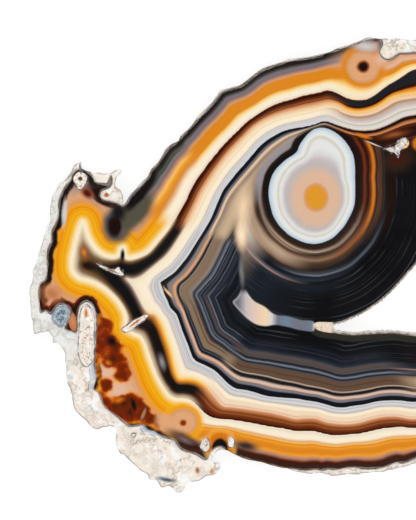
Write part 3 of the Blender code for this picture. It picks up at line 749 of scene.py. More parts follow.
# %% Palette and node helper
TINTS = {
    "ink": (11, 11, 14), "jet": (20, 16, 15), "soot": (35, 29, 27), "peat": (50, 33, 24),
    "umber": (56, 39, 28), "bistre": (82, 58, 40), "brown": (104, 76, 55), "cocoa": (90, 73, 67),
    "bark": (108, 76, 38), "maroon": (34, 10, 4), "oxblood": (66, 20, 5), "chestnut": (100, 36, 4),
    "garnet": (122, 34, 3), "rust": (158, 58, 4), "russet": (112, 52, 22), "sienna": (156, 86, 42),
    "copper": (192, 119, 72), "terracotta": (205, 140, 95), "apricot": (224, 166, 120),
    "peach": (240, 201, 156), "shell": (246, 214, 174), "cream": (250, 234, 202),
    "milk": (252, 239, 214), "bone": (238, 221, 201), "fog": (212, 207, 203),
    "pearl": (217, 216, 215), "haze": (206, 208, 212), "steel": (172, 174, 180),
    "slate": (114, 118, 130), "dusk": (84, 91, 102), "storm": (68, 71, 76), "navy": (42, 47, 59),
    "midnight": (26, 31, 39), "abyss": (16, 18, 23), "violet": (129, 104, 102),
    "mauve": (151, 117, 107), "rose": (172, 132, 115), "blush": (229, 184, 158),
    "clay": (216, 155, 104), "saffron": (241, 160, 10), "amber": (238, 158, 50),
    "honey": (228, 134, 20), "marigold": (216, 117, 15), "ochre": (219, 137, 36),
    "yolk": (244, 181, 26), "gold": (247, 194, 98), "straw": (252, 219, 149),
    "sand": (222, 204, 164), "tan": (205, 175, 147), "biscuit": (190, 164, 136),
    "fawn": (170, 143, 120), "taupe": (140, 126, 118), "khaki": (128, 110, 84), "moss": (84, 80, 66),
    "grey": (122, 120, 118), "putty": (190, 181, 174), "lilac": (201, 190, 190),
    "rind": (150, 142, 134), "loam": (140, 112, 92), "olive": (44, 42, 35), "ember": (205, 118, 25),
    "glow": (236, 122, 20), "white": (230, 230, 229), "frost": (208, 220, 226),
    "sky": (184, 201, 215), "sea": (110, 131, 150), "chalk": (248, 246, 242),
    "plaster": (240, 230, 218), "mist": (224, 228, 226),
    "core": (224, 152, 42), "halo": (223, 184, 155), "halo_rim": (206, 184, 170),
    "ash": (192, 184, 182), "pewter": (150, 145, 149), "sandstone": (187, 165, 131),
    "lens": (225, 199, 184), "lens_rim": (216, 212, 208), "flame": (250, 205, 150),
    "biscuit_white": (246, 234, 220), "celadon": (215, 211, 196),
}


def tint(name, shade=1.0):
    """A named colour as linear light with full opacity, made darker or lighter by a factor."""
    screen = np.array(TINTS[name]) / 255
    linear = np.where(screen <= 0.04045, screen / 12.92, ((screen + 0.055) / 1.055) ** 2.4)
    return (*np.minimum(linear * shade, 1).tolist(), 1.0)


class Drawing:
    """A node tree, and short ways to add to it. Most of them return the new node's output."""

    def __init__(self, tree):
        self.tree = tree

    def link(self, value, socket):
        """Joins a socket to another, or sets it where the value is a plain one."""
        if isinstance(value, bpy.types.NodeSocket):
            self.tree.links.new(value, socket)
        else:
            socket.default_value = value

    def read(self, name):
        """One of the numbers kept at the mesh's points."""
        node = self.tree.nodes.new("ShaderNodeAttribute")
        node.attribute_name = name
        return node.outputs["Fac"]

    def calc(self, operation, *values):
        """A sum of one step, such as MULTIPLY or MAXIMUM."""
        node = self.tree.nodes.new("ShaderNodeMath")
        node.operation = operation
        for value, socket in zip(values, node.inputs):
            self.link(value, socket)
        return node.outputs[0]

    def times(self, one, other):
        """Two numbers multiplied."""
        return self.calc("MULTIPLY", one, other)

    def sway(self, noise, reach, base):
        """The base moved up and down by noise round its middle, over the reach in all."""
        return self.calc("MULTIPLY_ADD", self.calc("SUBTRACT", noise, 0.5), reach, base)

    def between(self, value, low, high, start=0.0, end=1.0):
        """A smooth step from start to end as the value goes from low to high."""
        node = self.tree.nodes.new("ShaderNodeMapRange")
        node.interpolation_type = "SMOOTHSTEP"
        for key, given in (("Value", value), ("From Min", low), ("From Max", high), ("To Min", start),
                           ("To Max", end)):
            self.link(given, node.inputs[key])
        return node.outputs["Result"]

    def ramp(self, factor, stops):
        """A colour ramp from colour names by their places, in percent of the way along."""
        node = self.tree.nodes.new("ShaderNodeValToRGB")
        elements = node.color_ramp.elements
        elements.remove(elements[1])
        for index, (percent, name) in enumerate(stops.items()):
            element = elements[0] if index == 0 else elements.new(percent / 100)
            element.position = percent / 100
            element.color = tint(name)
        self.link(factor, node.inputs["Fac"])
        return node.outputs["Color"]

    def mix(self, factor, low, high, kind="MIX"):
        """Two colours mixed, or multiplied, added and so on."""
        node = self.tree.nodes.new("ShaderNodeMix")
        node.data_type = "RGBA"
        node.blend_type = kind
        sockets = [socket for socket in node.inputs if socket.enabled]
        for value, socket in zip((factor, low, high), sockets):
            self.link(value, socket)
        return next(socket for socket in node.outputs if socket.enabled)

    def noise(self, place, scale, detail=2.0, roughness=0.5, dimensions="3D"):
        """Noise whose lumps are about one over the scale across, from 0 to 1."""
        node = self.tree.nodes.new("ShaderNodeTexNoise")
        node.noise_dimensions = dimensions
        self.link(place, node.inputs["W" if dimensions == "1D" else "Vector"])
        node.inputs["Scale"].default_value = scale
        node.inputs["Detail"].default_value = detail
        node.inputs["Roughness"].default_value = roughness
        return node.outputs["Fac"]

    def vector(self, operation, *values):
        """The same as calc, for three numbers at once."""
        node = self.tree.nodes.new("ShaderNodeVectorMath")
        node.operation = operation
        sockets = [socket for socket in node.inputs if socket.enabled]
        for value, socket in zip(values, sockets):
            self.link(value, socket)
        return next(socket for socket in node.outputs if socket.enabled)

    def place(self):
        """The point itself, in the object's own metres."""
        return self.tree.nodes.new("ShaderNodeTexCoord").outputs["Object"]

    def parts(self, place):
        """A point's three numbers, by the names X, Y and Z."""
        node = self.tree.nodes.new("ShaderNodeSeparateXYZ")
        self.link(place, node.inputs[0])
        return node.outputs

    def drawn_place(self, warp):
        """The point in millimetres as the outlines were drawn, moved about a little by noise."""
        place = self.place()
        flat = self.vector("MULTIPLY_ADD", place, (1000.0, 1000.0, 0.0), (*CENTRE, 0.0))
        one = self.noise(place, 450.0, 2.0)
        other = self.noise(self.vector("ADD", place, (3.0, 5.0, 0.0)), 450.0, 2.0)
        across = self.calc("MULTIPLY_ADD", one, warp, -0.5 * warp)
        up = self.calc("MULTIPLY_ADD", other, warp, -0.5 * warp)
        stir = self.tree.nodes.new("ShaderNodeCombineXYZ")
        self.link(across, stir.inputs["X"])
        self.link(up, stir.inputs["Y"])
        return self.vector("ADD", flat, stir.outputs["Vector"])

    def bump(self, height, strength, reach):
        """A normal tilted as if the surface rose and fell by the height times the reach, in metres."""
        node = self.tree.nodes.new("ShaderNodeBump")
        node.inputs["Strength"].default_value = strength
        node.inputs["Distance"].default_value = reach
        self.link(height, node.inputs["Height"])
        return node.outputs["Normal"]

    def use(self, group, **given):
        """A node group placed in the tree, with its inputs set by name. Returns the node."""
        node = self.tree.nodes.new("ShaderNodeGroup")
        node.node_tree = group
        for key, value in given.items():
            self.link(value, node.inputs[key.replace("_", " ")])
        return node


def group(name, inputs=(), outputs=()):
    """An empty node group with sockets given as (name, kind, value): a drawing, its inputs by name,
    and its output node's sockets by name."""
    tree = bpy.data.node_groups.new(name, "ShaderNodeTree")
    for label, kind, value in inputs:
        socket = tree.interface.new_socket(label, in_out="INPUT", socket_type=kind)
        if value is not None:
            socket.default_value = value
    for label, kind in outputs:
        tree.interface.new_socket(label, in_out="OUTPUT", socket_type=kind)
    return Drawing(tree), tree.nodes.new("NodeGroupInput").outputs, tree.nodes.new("NodeGroupOutput").inputs


print(len(TINTS), "colours named")

# %% [markdown]
# Each stretch between two growth lines has a colour sequence of its own. It is written as colours at
# places along the stretch, in percent of the way from the outer line to the inner one. The sequence
# changes round the nodule, because the layers were dyed by what seeped through them, so a stretch may
# have other versions for each side.

# %% The order of the bands
BANDS = (
    {
        "top": {
            0: "jet", 10: "soot", 15: "cocoa", 20: "slate", 27: "violet", 32: "rose", 37: "clay",
            42: "ochre", 50: "honey", 56: "ochre", 60: "honey", 67: "ochre", 72: "gold", 76: "straw",
            81: "cream", 90: "milk", 95: "bone", 100: "shell",
        },
        "top_right": {
            0: "soot", 6: "violet", 12: "apricot", 34: "blush", 42: "clay", 50: "ochre", 62: "honey",
            70: "gold", 80: "straw", 88: "cream", 100: "shell",
        },
        "shoulder": {
            0: "umber", 5: "jet", 12: "olive", 17: "moss", 21: "storm", 25: "grey", 31: "violet",
            36: "rose", 40: "clay", 46: "gold", 52: "amber", 62: "ochre", 68: "apricot", 74: "shell",
            80: "milk", 90: "milk", 96: "bone", 100: "peach",
        },
        "bottom": {
            0: "oxblood", 8: "peat", 17: "oxblood", 21: "russet", 25: "mauve", 30: "terracotta",
            36: "amber", 43: "honey", 49: "ochre", 53: "honey", 60: "amber", 64: "honey", 68: "gold",
            72: "apricot", 78: "cream", 86: "milk", 95: "bone", 100: "cream",
        },
    },
    {
        "top": {
            0: "chestnut", 10: "maroon", 24: "oxblood", 42: "russet", 50: "sienna", 58: "russet",
            66: "copper", 84: "apricot", 100: "peach",
        },
        "left": {
            0: "cream", 4: "sand", 8: "biscuit", 12: "khaki", 17: "bark", 25: "umber", 33: "jet",
            62: "ink", 74: "soot", 84: "cocoa", 93: "fawn", 100: "bone",
        },
        "lower_left": {
            0: "sand", 10: "biscuit", 18: "loam", 27: "umber", 38: "jet", 60: "jet", 68: "maroon",
            76: "bark", 85: "ember", 93: "amber", 100: "gold",
        },
        "bottom": {
            0: "maroon", 8: "oxblood", 22: "chestnut", 38: "russet", 50: "sienna", 58: "russet",
            68: "sienna", 80: "copper", 90: "terracotta", 100: "blush",
        },
        "top_right": {
            0: "cocoa", 6: "soot", 30: "midnight", 46: "soot", 56: "maroon", 64: "oxblood", 70: "ember",
            82: "amber", 90: "gold", 100: "peach",
        },
    },
    {
        "top": {
            0: "peach", 10: "shell", 20: "cream", 25: "shell", 32: "cream", 44: "milk", 54: "cream",
            60: "bone", 64: "putty", 68: "fog", 73: "pearl", 76: "putty", 79: "pearl", 88: "haze",
            96: "pearl", 100: "steel",
        },
        "lower_left": {
            0: "gold", 8: "straw", 24: "cream", 36: "milk", 46: "bone", 52: "putty", 58: "pearl",
            64: "lilac", 70: "pearl", 74: "putty", 78: "haze", 84: "steel", 87: "haze", 95: "pearl",
            100: "steel",
        },
        "left": {
            0: "bone", 15: "cream", 40: "milk", 50: "bone", 56: "lilac", 64: "pearl", 72: "putty",
            77: "haze", 84: "steel", 87: "haze", 95: "pearl", 100: "steel",
        },
        "top_right": {
            0: "gold", 8: "peach", 16: "shell", 24: "rose", 36: "tan", 46: "lilac", 54: "fog", 62: "bone",
            70: "putty", 74: "celadon", 82: "pearl", 90: "bone", 95: "putty", 100: "khaki",
        },
        "bottom": {
            0: "shell", 10: "blush", 16: "shell", 24: "bone", 34: "shell", 46: "milk", 56: "cream",
            63: "lilac", 67: "putty", 71: "fog", 78: "pearl", 84: "haze", 87: "steel", 90: "haze",
            97: "pearl", 100: "steel",
        },
    },
    {
        "top": {
            0: "abyss", 20: "abyss", 28: "navy", 36: "slate", 42: "dusk", 50: "tan", 58: "peach",
            68: "tan", 78: "taupe", 100: "fawn",
        },
        "left": {
            0: "jet", 20: "soot", 27: "navy", 34: "slate", 40: "grey", 50: "taupe", 60: "rose",
            66: "clay", 74: "apricot", 80: "fawn", 87: "cocoa", 94: "jet", 100: "soot",
        },
        "lower_left": {
            0: "jet", 26: "abyss", 32: "dusk", 40: "slate", 48: "rose", 56: "apricot", 66: "blush",
            73: "rose", 79: "navy", 88: "abyss", 95: "navy", 100: "dusk",
        },
        "bottom": {
            0: "abyss", 26: "abyss", 31: "navy", 35: "slate", 44: "grey", 50: "mauve", 57: "blush",
            65: "lilac", 70: "tan", 76: "cocoa", 82: "soot", 92: "abyss", 96: "navy", 100: "taupe",
        },
        "top_right": {
            0: "maroon", 30: "maroon", 42: "sienna", 55: "copper", 68: "terracotta", 80: "russet",
            90: "maroon", 100: "russet",
        },
    },
    {
        "top": {
            0: "fawn", 15: "sandstone", 40: "tan", 60: "sandstone", 78: "loam", 86: "soot", 93: "storm",
            100: "soot",
        },
        "left": {
            0: "navy", 6: "taupe", 13: "khaki", 30: "loam", 40: "khaki", 52: "loam", 62: "taupe",
            70: "grey", 76: "cocoa", 82: "navy", 90: "dusk", 100: "slate",
        },
        "lower_left": {
            0: "dusk", 5: "abyss", 10: "navy", 16: "khaki", 30: "loam", 42: "khaki", 50: "cocoa",
            60: "loam", 70: "bistre", 78: "navy", 85: "midnight", 93: "dusk", 100: "slate",
        },
        "bottom": {
            0: "fawn", 5: "biscuit", 10: "cocoa", 20: "brown", 27: "cocoa", 34: "brown", 42: "bistre",
            50: "brown", 60: "cocoa", 66: "brown", 72: "cocoa", 78: "storm", 84: "midnight", 90: "navy",
            96: "slate", 100: "slate",
        },
        "top_right": {0: "oxblood", 50: "maroon", 100: "maroon"},
    },
    {
        "top": {
            0: "soot", 3: "dusk", 6: "midnight", 9: "rose", 12: "navy", 20: "midnight", 30: "ink",
            100: "ink",
        },
        "left": {
            0: "slate", 2: "midnight", 5: "navy", 7: "dusk", 9: "abyss", 12: "navy", 15: "storm",
            17: "abyss", 20: "midnight", 23: "dusk", 25: "midnight", 29: "navy", 34: "navy", 36: "abyss",
            42: "midnight", 50: "navy", 52: "abyss", 70: "midnight", 100: "ink",
        },
        "lower_left": {
            0: "slate", 2: "midnight", 6: "dusk", 9: "midnight", 13: "navy", 17: "cocoa", 22: "navy",
            25: "slate", 28: "midnight", 33: "navy", 38: "midnight", 40: "dusk", 43: "abyss",
            50: "midnight", 60: "abyss", 80: "midnight", 100: "ink",
        },
        "bottom": {
            0: "slate", 3: "navy", 7: "midnight", 10: "cocoa", 14: "storm", 17: "cocoa", 21: "cocoa",
            23: "storm", 27: "navy", 32: "midnight", 39: "abyss", 42: "navy", 45: "abyss", 51: "midnight",
            57: "abyss", 72: "ink", 100: "ink",
        },
        "top_right": {0: "maroon", 15: "oxblood", 40: "maroon", 80: "jet", 100: "ink"},
    },
)

# Outside the cream line on the left, the layers keep their width. Here the whole way is 12 mm.
LEFT_LAYERS = {
    0: "cream", 4: "cream", 8: "straw", 12: "gold", 16: "yolk", 20: "saffron", 22.5: "yolk",
    26: "saffron", 31: "saffron", 33: "honey", 35.5: "saffron", 40: "amber", 46: "clay", 52: "apricot",
    80: "blush",
}
# The dark rim inside the skin, over 3 mm, and the redder one beside the clots.
SKIN_RIM = {0: "soot", 10: "jet", 30: "jet", 38: "maroon", 46: "oxblood", 54: "garnet", 64: "sienna"}
CLOT_RIM = {0: "jet", 10: "jet", 16: "maroon", 26: "oxblood", 42: "garnet", 56: "copper"}

# Rings outside the eye, over 16 mm, for directions that turn from the left down to the right. Each
# direction is a share of a full turn, clockwise from the top.
EYE_RINGS = (
    (0.8, {
        0: "jet", 9: "jet", 10.5: "peat", 12: "taupe", 14: "pewter", 20: "pewter", 24: "fawn",
        30: "sandstone", 42: "tan", 100: "tan",
    }),
    (0.71, {
        0: "soot", 6: "jet", 10: "umber", 15: "taupe", 17: "cocoa", 19: "umber", 21: "umber",
        24: "bistre", 26: "loam", 29: "fawn", 34: "fawn", 37: "biscuit", 41: "tan", 46: "bone",
        54: "bone", 62: "tan", 100: "tan",
    }),
    (0.6, {
        0: "soot", 8.5: "peat", 10: "brown", 13: "biscuit", 14.5: "cocoa", 16.5: "fawn", 18.5: "brown",
        21: "bistre", 25: "fawn", 30: "biscuit", 36: "fawn", 40: "loam", 44: "umber", 50: "midnight",
        56: "abyss", 60: "dusk", 62: "rose", 64: "navy", 72: "midnight", 100: "midnight",
    }),
    (0.5, {
        0: "soot", 8: "peat", 9.5: "bistre", 12: "taupe", 13.5: "biscuit", 15: "cocoa", 18: "umber",
        22: "brown", 26: "loam", 30: "bistre", 36: "umber", 42: "soot", 48: "storm", 50: "slate",
        52: "midnight", 58: "navy", 60: "abyss", 68: "midnight", 80: "abyss", 88: "ink", 100: "ink",
    }),
    (0.4, {
        0: "soot", 8: "peat", 10: "bistre", 14: "taupe", 15.5: "loam", 18: "umber", 22: "brown",
        27: "sienna", 31: "bistre", 38: "soot", 46: "abyss", 51: "dusk", 53: "midnight", 58: "ink",
        100: "ink",
    }),
    (0.26, {
        0: "maroon", 9: "jet", 12: "oxblood", 15: "russet", 18: "oxblood", 21: "maroon", 25: "russet",
        28: "ember", 30: "ember", 33: "oxblood", 40: "bistre", 44: "peat", 50: "jet", 57: "maroon",
        62: "jet", 70: "ink", 100: "ink",
    }),
)
print(sum(len(stretch) for stretch in BANDS), "sequences of bands and", len(EYE_RINGS), "of rings")

# %% [markdown]
# Some marks belong to no layer: the round eye at the top, the black core of the notch, rusty dots.
# Each is an ellipse with its own colours from the middle out and a soft edge. One row gives where it
# is, its half width and half height, its turn in degrees, how much of it is the soft edge, and its
# colours, in percent of the way out.

# %% Spots
SPOTS = (
    # The round eye under the upper rim, and the grey patch above it.
    (11.8, 31.8, 6.6, 6.4, 0, 0.3, {
        0: "ink", 11: "jet", 16: "oxblood", 21: "sienna", 28: "apricot", 50: "apricot", 60: "clay",
        68: "ochre", 80: "honey", 100: "amber",
    }),
    (16.2, 33.6, 3.4, 3.2, 0, 0.8, {0: "blush", 70: "apricot", 100: "clay"}),
    (12.4, 36.9, 5.2, 2.3, -6, 0.8, {0: "fog", 50: "putty", 100: "taupe"}),
    # The notch: olive-grey quartz under the skin, with a black core and dark arms along the skin.
    (-49.8, -7.8, 4.8, 5.9, 0, 0.5, {0: "storm", 60: "storm", 80: "moss", 100: "loam"}),
    (-44.9, -4.4, 8.6, 4.2, 52, 0.6, {0: "moss", 55: "moss", 80: "loam", 100: "clay"}),
    (-43.9, 0.7, 8.6, 2.3, 52, 0.5, {0: "jet", 70: "jet", 100: "storm"}),
    (-53.2, -0.2, 6.2, 1.8, -27, 0.6, {0: "jet", 60: "maroon", 80: "oxblood", 100: "rust"}),
    (-49.4, -4.6, 2.7, 3.4, 0, 0.7, {0: "jet", 60: "soot", 100: "jet"}),
    (-50.3, -8.1, 2.3, 3.3, 3, 0.45, {0: "ink", 50: "maroon", 75: "jet", 100: "midnight"}),
    (-48.4, -15.3, 0.8, 2.2, 0, 0.7, {0: "ink", 100: "soot"}),
    # The wedge beside it.
    (-58.0, -14.6, 2.2, 3.8, 12, 1.0, {0: "ochre", 35: "sienna", 100: "bark"}),
    (-57.0, -18.0, 3.0, 1.6, -20, 0.8, {0: "maroon", 100: "maroon"}),
    (-57.2, 0.2, 2.8, 1.7, -35, 0.8, {0: "oxblood", 60: "garnet", 100: "rust"}),
    (-62.9, -4.8, 1.0, 5.2, -4, 0.8, {0: "haze", 60: "fog", 100: "tan"}),
    (-60.8, -32.0, 1.25, 2.9, 8, 0.3, {0: "terracotta", 70: "copper", 100: "russet"}),
    (-66.0, -25.0, 4.4, 3.2, -25, 1.0, {0: "copper", 70: "copper", 100: "terracotta"}),
    (-67.6, -26.6, 1.3, 1.6, 0, 0.9, {0: "russet", 100: "sienna"}),
    # Iron clots at the lower left: brighter, darker and black parts.
    (-51.0, -36.8, 2.3, 1.9, -30, 0.9, {0: "ink", 40: "ink", 60: "maroon", 100: "oxblood"}),
    (-51.9, -42.2, 1.5, 1.1, -20, 0.9, {0: "marigold", 100: "rust"}),
    (-49.4, -51.5, 2.4, 1.3, 15, 0.9, {0: "marigold", 100: "rust"}),
    (-45.6, -52.7, 0.9, 2.2, 18, 0.6, {0: "ink", 100: "maroon"}),
    (-43.1, -55.0, 0.6, 2.3, -20, 0.5, {0: "ember", 60: "loam", 100: "jet"}),
    (-38.5, -42.0, 1.3, 3.3, 15, 1.0, {0: "pewter", 100: "cocoa"}),
    # Two swellings along the lower left.
    (-33.2, -57.0, 5.8, 5.4, 0, 0.3, {
        0: "apricot", 45: "apricot", 56: "clay", 66: "amber", 75: "saffron", 85: "yolk", 100: "gold",
    }),
    (-36.9, -57.6, 4.6, 3.1, -35, 0.6, {0: "apricot", 70: "apricot", 100: "clay"}),
    (-32.8, -61.4, 7.2, 2.3, -26, 0.8, {0: "violet", 50: "maroon", 100: "russet"}),
    (-33.2, -57.2, 1.2, 1.1, 0, 0.6, {0: "garnet", 70: "rust", 100: "sienna"}),
    (-24.0, -63.4, 4.7, 5.6, 0, 0.35, {
        0: "ink", 25: "jet", 37: "maroon", 48: "ember", 62: "marigold", 75: "amber", 87: "gold",
        100: "straw",
    }),
    (-17.6, -62.9, 5.0, 1.8, -12, 0.8, {0: "umber", 100: "cocoa"}),
    # The bright seam between the eye's rings and the other layers.
    (-18.3, -3.6, 3.6, 9.0, -8, 0.95, {0: "shell", 100: "tan"}),
    (-18.7, -10.2, 2.2, 5.6, 2, 0.85, {0: "cream", 50: "shell", 100: "tan"}),
    (-18.6, -19.4, 1.0, 5.8, 4, 0.9, {0: "grey", 100: "dusk"}),
    (-37.0, -24.6, 0.5, 2.6, 38, 0.8, {0: "flame", 100: "clay"}),
    # The rusty part to the right of the eye.
    (19.5, 14.8, 6.0, 1.4, 12, 0.9, {0: "sienna", 50: "russet", 100: "russet"}),
    (20.5, 8.6, 6.5, 5.0, 20, 0.9, {0: "oxblood", 50: "peat", 100: "maroon"}),
    (11.8, 14.5, 3.2, 0.8, -16, 0.8, {0: "glow", 50: "ember", 100: "russet"}),
    (25.4, 12.6, 2.0, 2.2, 0, 0.7, {0: "ember", 60: "ember", 100: "russet"}),
    (21.9, 12.7, 1.5, 1.5, 0, 0.25, {0: "cream", 60: "shell", 80: "gold", 100: "ember"}),
    (14.4, 12.5, 3.1, 0.22, -20, 0.5, {0: "white", 100: "taupe"}),
)

# The same for the matrix: rusty dots, the dark eye of the round vug and a hairline in the long one.
MATRIX_SPOTS = (
    (-59.0, 3.8, 0.75, 0.75, 0, 0.5, {0: "umber", 60: "bistre", 100: "tan"}),
    (-52.4, -0.2, 0.8, 0.7, 0, 0.4, {0: "sienna", 70: "ember", 100: "clay"}),
    (-57.5, -29.8, 0.5, 1.6, 4, 0.4, {0: "ember", 100: "clay"}),
    (-57.0, -31.1, 0.55, 0.6, 0, 0.3, {0: "chalk", 100: "chalk"}),
    (-45.3, -32.3, 2.9, 0.35, 37, 0.6, {0: "sienna", 60: "ember", 100: "straw"}),
    (-50.9, -19.3, 2.6, 0.35, -17, 0.6, {0: "sienna", 100: "tan"}),
    (-61.4, 4.8, 3.8, 0.3, 48, 0.6, {0: "rind", 100: "fog"}),
    (-58.9, 6.4, 0.35, 2.3, 5, 0.6, {0: "storm", 100: "rind"}),
    (-29.7, -69.0, 0.9, 1.3, 10, 0.7, {0: "sienna", 100: "apricot"}),
    (-26.0, -69.3, 0.8, 1.2, -10, 0.7, {0: "copper", 100: "peach"}),
    (-37.4, -71.4, 4.0, 0.8, -10, 0.8, {0: "storm", 70: "sea", 100: "fog"}),
)
print(len(SPOTS), "spots in the bands and", len(MATRIX_SPOTS), "in the matrix")

# %% [markdown]
# Four groups do the colouring. The first says how far a point is inside one spot. The band group turns
# the numbers on the mesh into colour: for each stretch it draws the ramps of all sides, mixes them by
# where the point lies, and lays the stretch over the one before it where growth has passed its line.
# A soft edge a few hundredths wide keeps the lines from looking cut out.

# %% One spot
FLOAT, COLOUR, VECTOR = "NodeSocketFloat", "NodeSocketColor", "NodeSocketVector"


def make_spot():
    """The group: the place from the centre, measured along the spot's two axes in half widths, as two
    dot products. Their length is 0 in the middle and 1 at the edge, and the cover fades over the soft
    share before the edge. The nodes are in the order they are read in and need no change of kind, as
    the renderer has little room for results that wait."""
    draw, given, result = group("spot_reach", (
        ("Place", VECTOR, None), ("Centre", VECTOR, None), ("Across", VECTOR, None), ("Up", VECTOR, None),
        ("Soft", FLOAT, 0.3)), (("Along", FLOAT), ("Cover", FLOAT)))
    moved = draw.vector("SUBTRACT", given["Place"], given["Centre"])
    across = draw.vector("DOT_PRODUCT", moved, given["Across"])
    up = draw.vector("DOT_PRODUCT", moved, given["Up"])
    along = draw.calc("SQRT", draw.calc("MULTIPLY_ADD", across, across, draw.times(up, up)))
    draw.link(along, result["Along"])
    edge = draw.calc("SUBTRACT", 1.0, given["Soft"])
    draw.link(draw.between(along, edge, 1.0, 1.0, 0.0), result["Cover"])
    return draw.tree


SPOT_REACH = make_spot()


def spotted(draw, colour, place, spots):
    """A colour with the spots laid over it in turn."""
    for x, y, wide, tall, turn, soft, stops in spots:
        cos, sin = math.cos(math.radians(turn)), math.sin(math.radians(turn))
        spot = draw.use(SPOT_REACH, Place=place, Centre=(x, y, 0.0), Across=(cos / wide, sin / wide, 0.0),
                        Up=(-sin / tall, cos / tall, 0.0), Soft=soft).outputs
        colour = draw.mix(spot["Cover"], colour, draw.ramp(spot["Along"], stops))
    return colour


# %% The outer bands
BAND_EDGE = 0.012
LAYER_REACH = 12.0
RING_REACH = 16.0


def first_stretch(draw, along, weights):
    """From the skin to the cream line. On the left its layers keep their width from the cream line
    outwards, whatever room there is, and a dark rim follows the skin."""
    band = draw.ramp(along, BANDS[0]["top"])
    for name in ("top_right", "shoulder"):
        band = draw.mix(weights[name], band, draw.ramp(along, BANDS[0][name]))
    outward = draw.calc("DIVIDE", draw.times(draw.read("cream_depth"), -1.0), LAYER_REACH)
    lumpy = draw.calc("MULTIPLY_ADD", draw.noise(draw.place(), 500.0, 3.0), 1.4, -0.7)
    skin = draw.calc("DIVIDE", draw.calc("ADD", draw.read("skin_depth"), lumpy), 3.0)
    rim = draw.mix(draw.read("below_wedge"), draw.ramp(skin, SKIN_RIM), draw.ramp(skin, CLOT_RIM))
    left = draw.mix(draw.between(skin, 0.38, 0.62), rim, draw.ramp(outward, LEFT_LAYERS))
    weight = draw.calc("MAXIMUM", weights["left"], weights["lower_left"])
    band = draw.mix(weight, band, left)
    return draw.mix(weights["bottom"], band, draw.ramp(along, BANDS[0]["bottom"]))


def outer_bands(draw, level):
    """The colour of the layers between the skin and the hollow, at a growth level."""
    weights = {name: draw.read("at_" + name) for name in SIDES}
    colour = first_stretch(draw, level, weights)
    for index, stretch in enumerate(BANDS[1:], start=1):
        along = draw.calc("SUBTRACT", level, float(index))
        band = draw.ramp(along, stretch["top"])
        for name in SIDES:
            if name in stretch:
                band = draw.mix(weights[name], band, draw.ramp(along, stretch[name]))
        colour = draw.mix(draw.between(along, -BAND_EDGE, BAND_EDGE), colour, band)
    return colour


def hairlines(draw, colour, along, scale, low, amount):
    """Fine paler lines along the layers where the colour is dark: noise of one number, so each line
    keeps its strength all along, with slow noise that lets them come and go."""
    line = draw.between(draw.noise(along, scale, 3.0, 0.7, "1D"), 0.54, 0.72)
    slow = draw.between(draw.noise(draw.place(), 90.0, 2.0), 0.4, 0.66)
    strength = draw.times(draw.times(line, slow), low)
    return draw.mix(draw.times(strength, amount), colour, tint("slate"))


# %% The eye
def eye_rings(draw):
    """The rings outside the eye: one ramp over 16 mm for each of a few directions, mixed in turn."""
    out = draw.calc("DIVIDE", draw.times(draw.read("eye_depth"), -1.0), RING_REACH)
    bearing = draw.read("eye_bearing")
    before, stops = EYE_RINGS[0]
    colour = draw.ramp(out, stops)
    for direction, stops in EYE_RINGS[1:]:
        colour = draw.mix(draw.between(bearing, direction, before), draw.ramp(out, stops), colour)
        before = direction
    return hairlines(draw, colour, out, 21.0, draw.between(out, 0.05, 0.1), 0.3)


def eye_inside(draw):
    """The white eye: an orange core in a soft peach halo, then white, a fine line, and a blue rim."""
    core = draw.ramp(draw.calc("DIVIDE", draw.read("core_reach"), 12.0), {
        0: "core", 19: "core", 23.5: "clay", 28: "halo", 44: "halo", 52: "halo_rim", 60: "ash",
        69: "lilac", 78: "pearl", 88: "white", 100: "white",
    })
    level = draw.times(draw.read("eye_level"), 0.5)
    rings = draw.ramp(level, {
        0: "white", 45.5: "white", 47.5: "celadon", 49.5: "celadon", 51.5: "white", 68: "white",
        80: "frost", 97: "sky", 100: "slate",
    })
    return draw.mix(draw.between(level, 0.38, 0.47), core, rings)


# %% The band group
# The lens's colours change with x, over this length, which ends below the eye's middle.
LENS_LENGTH = 30.0


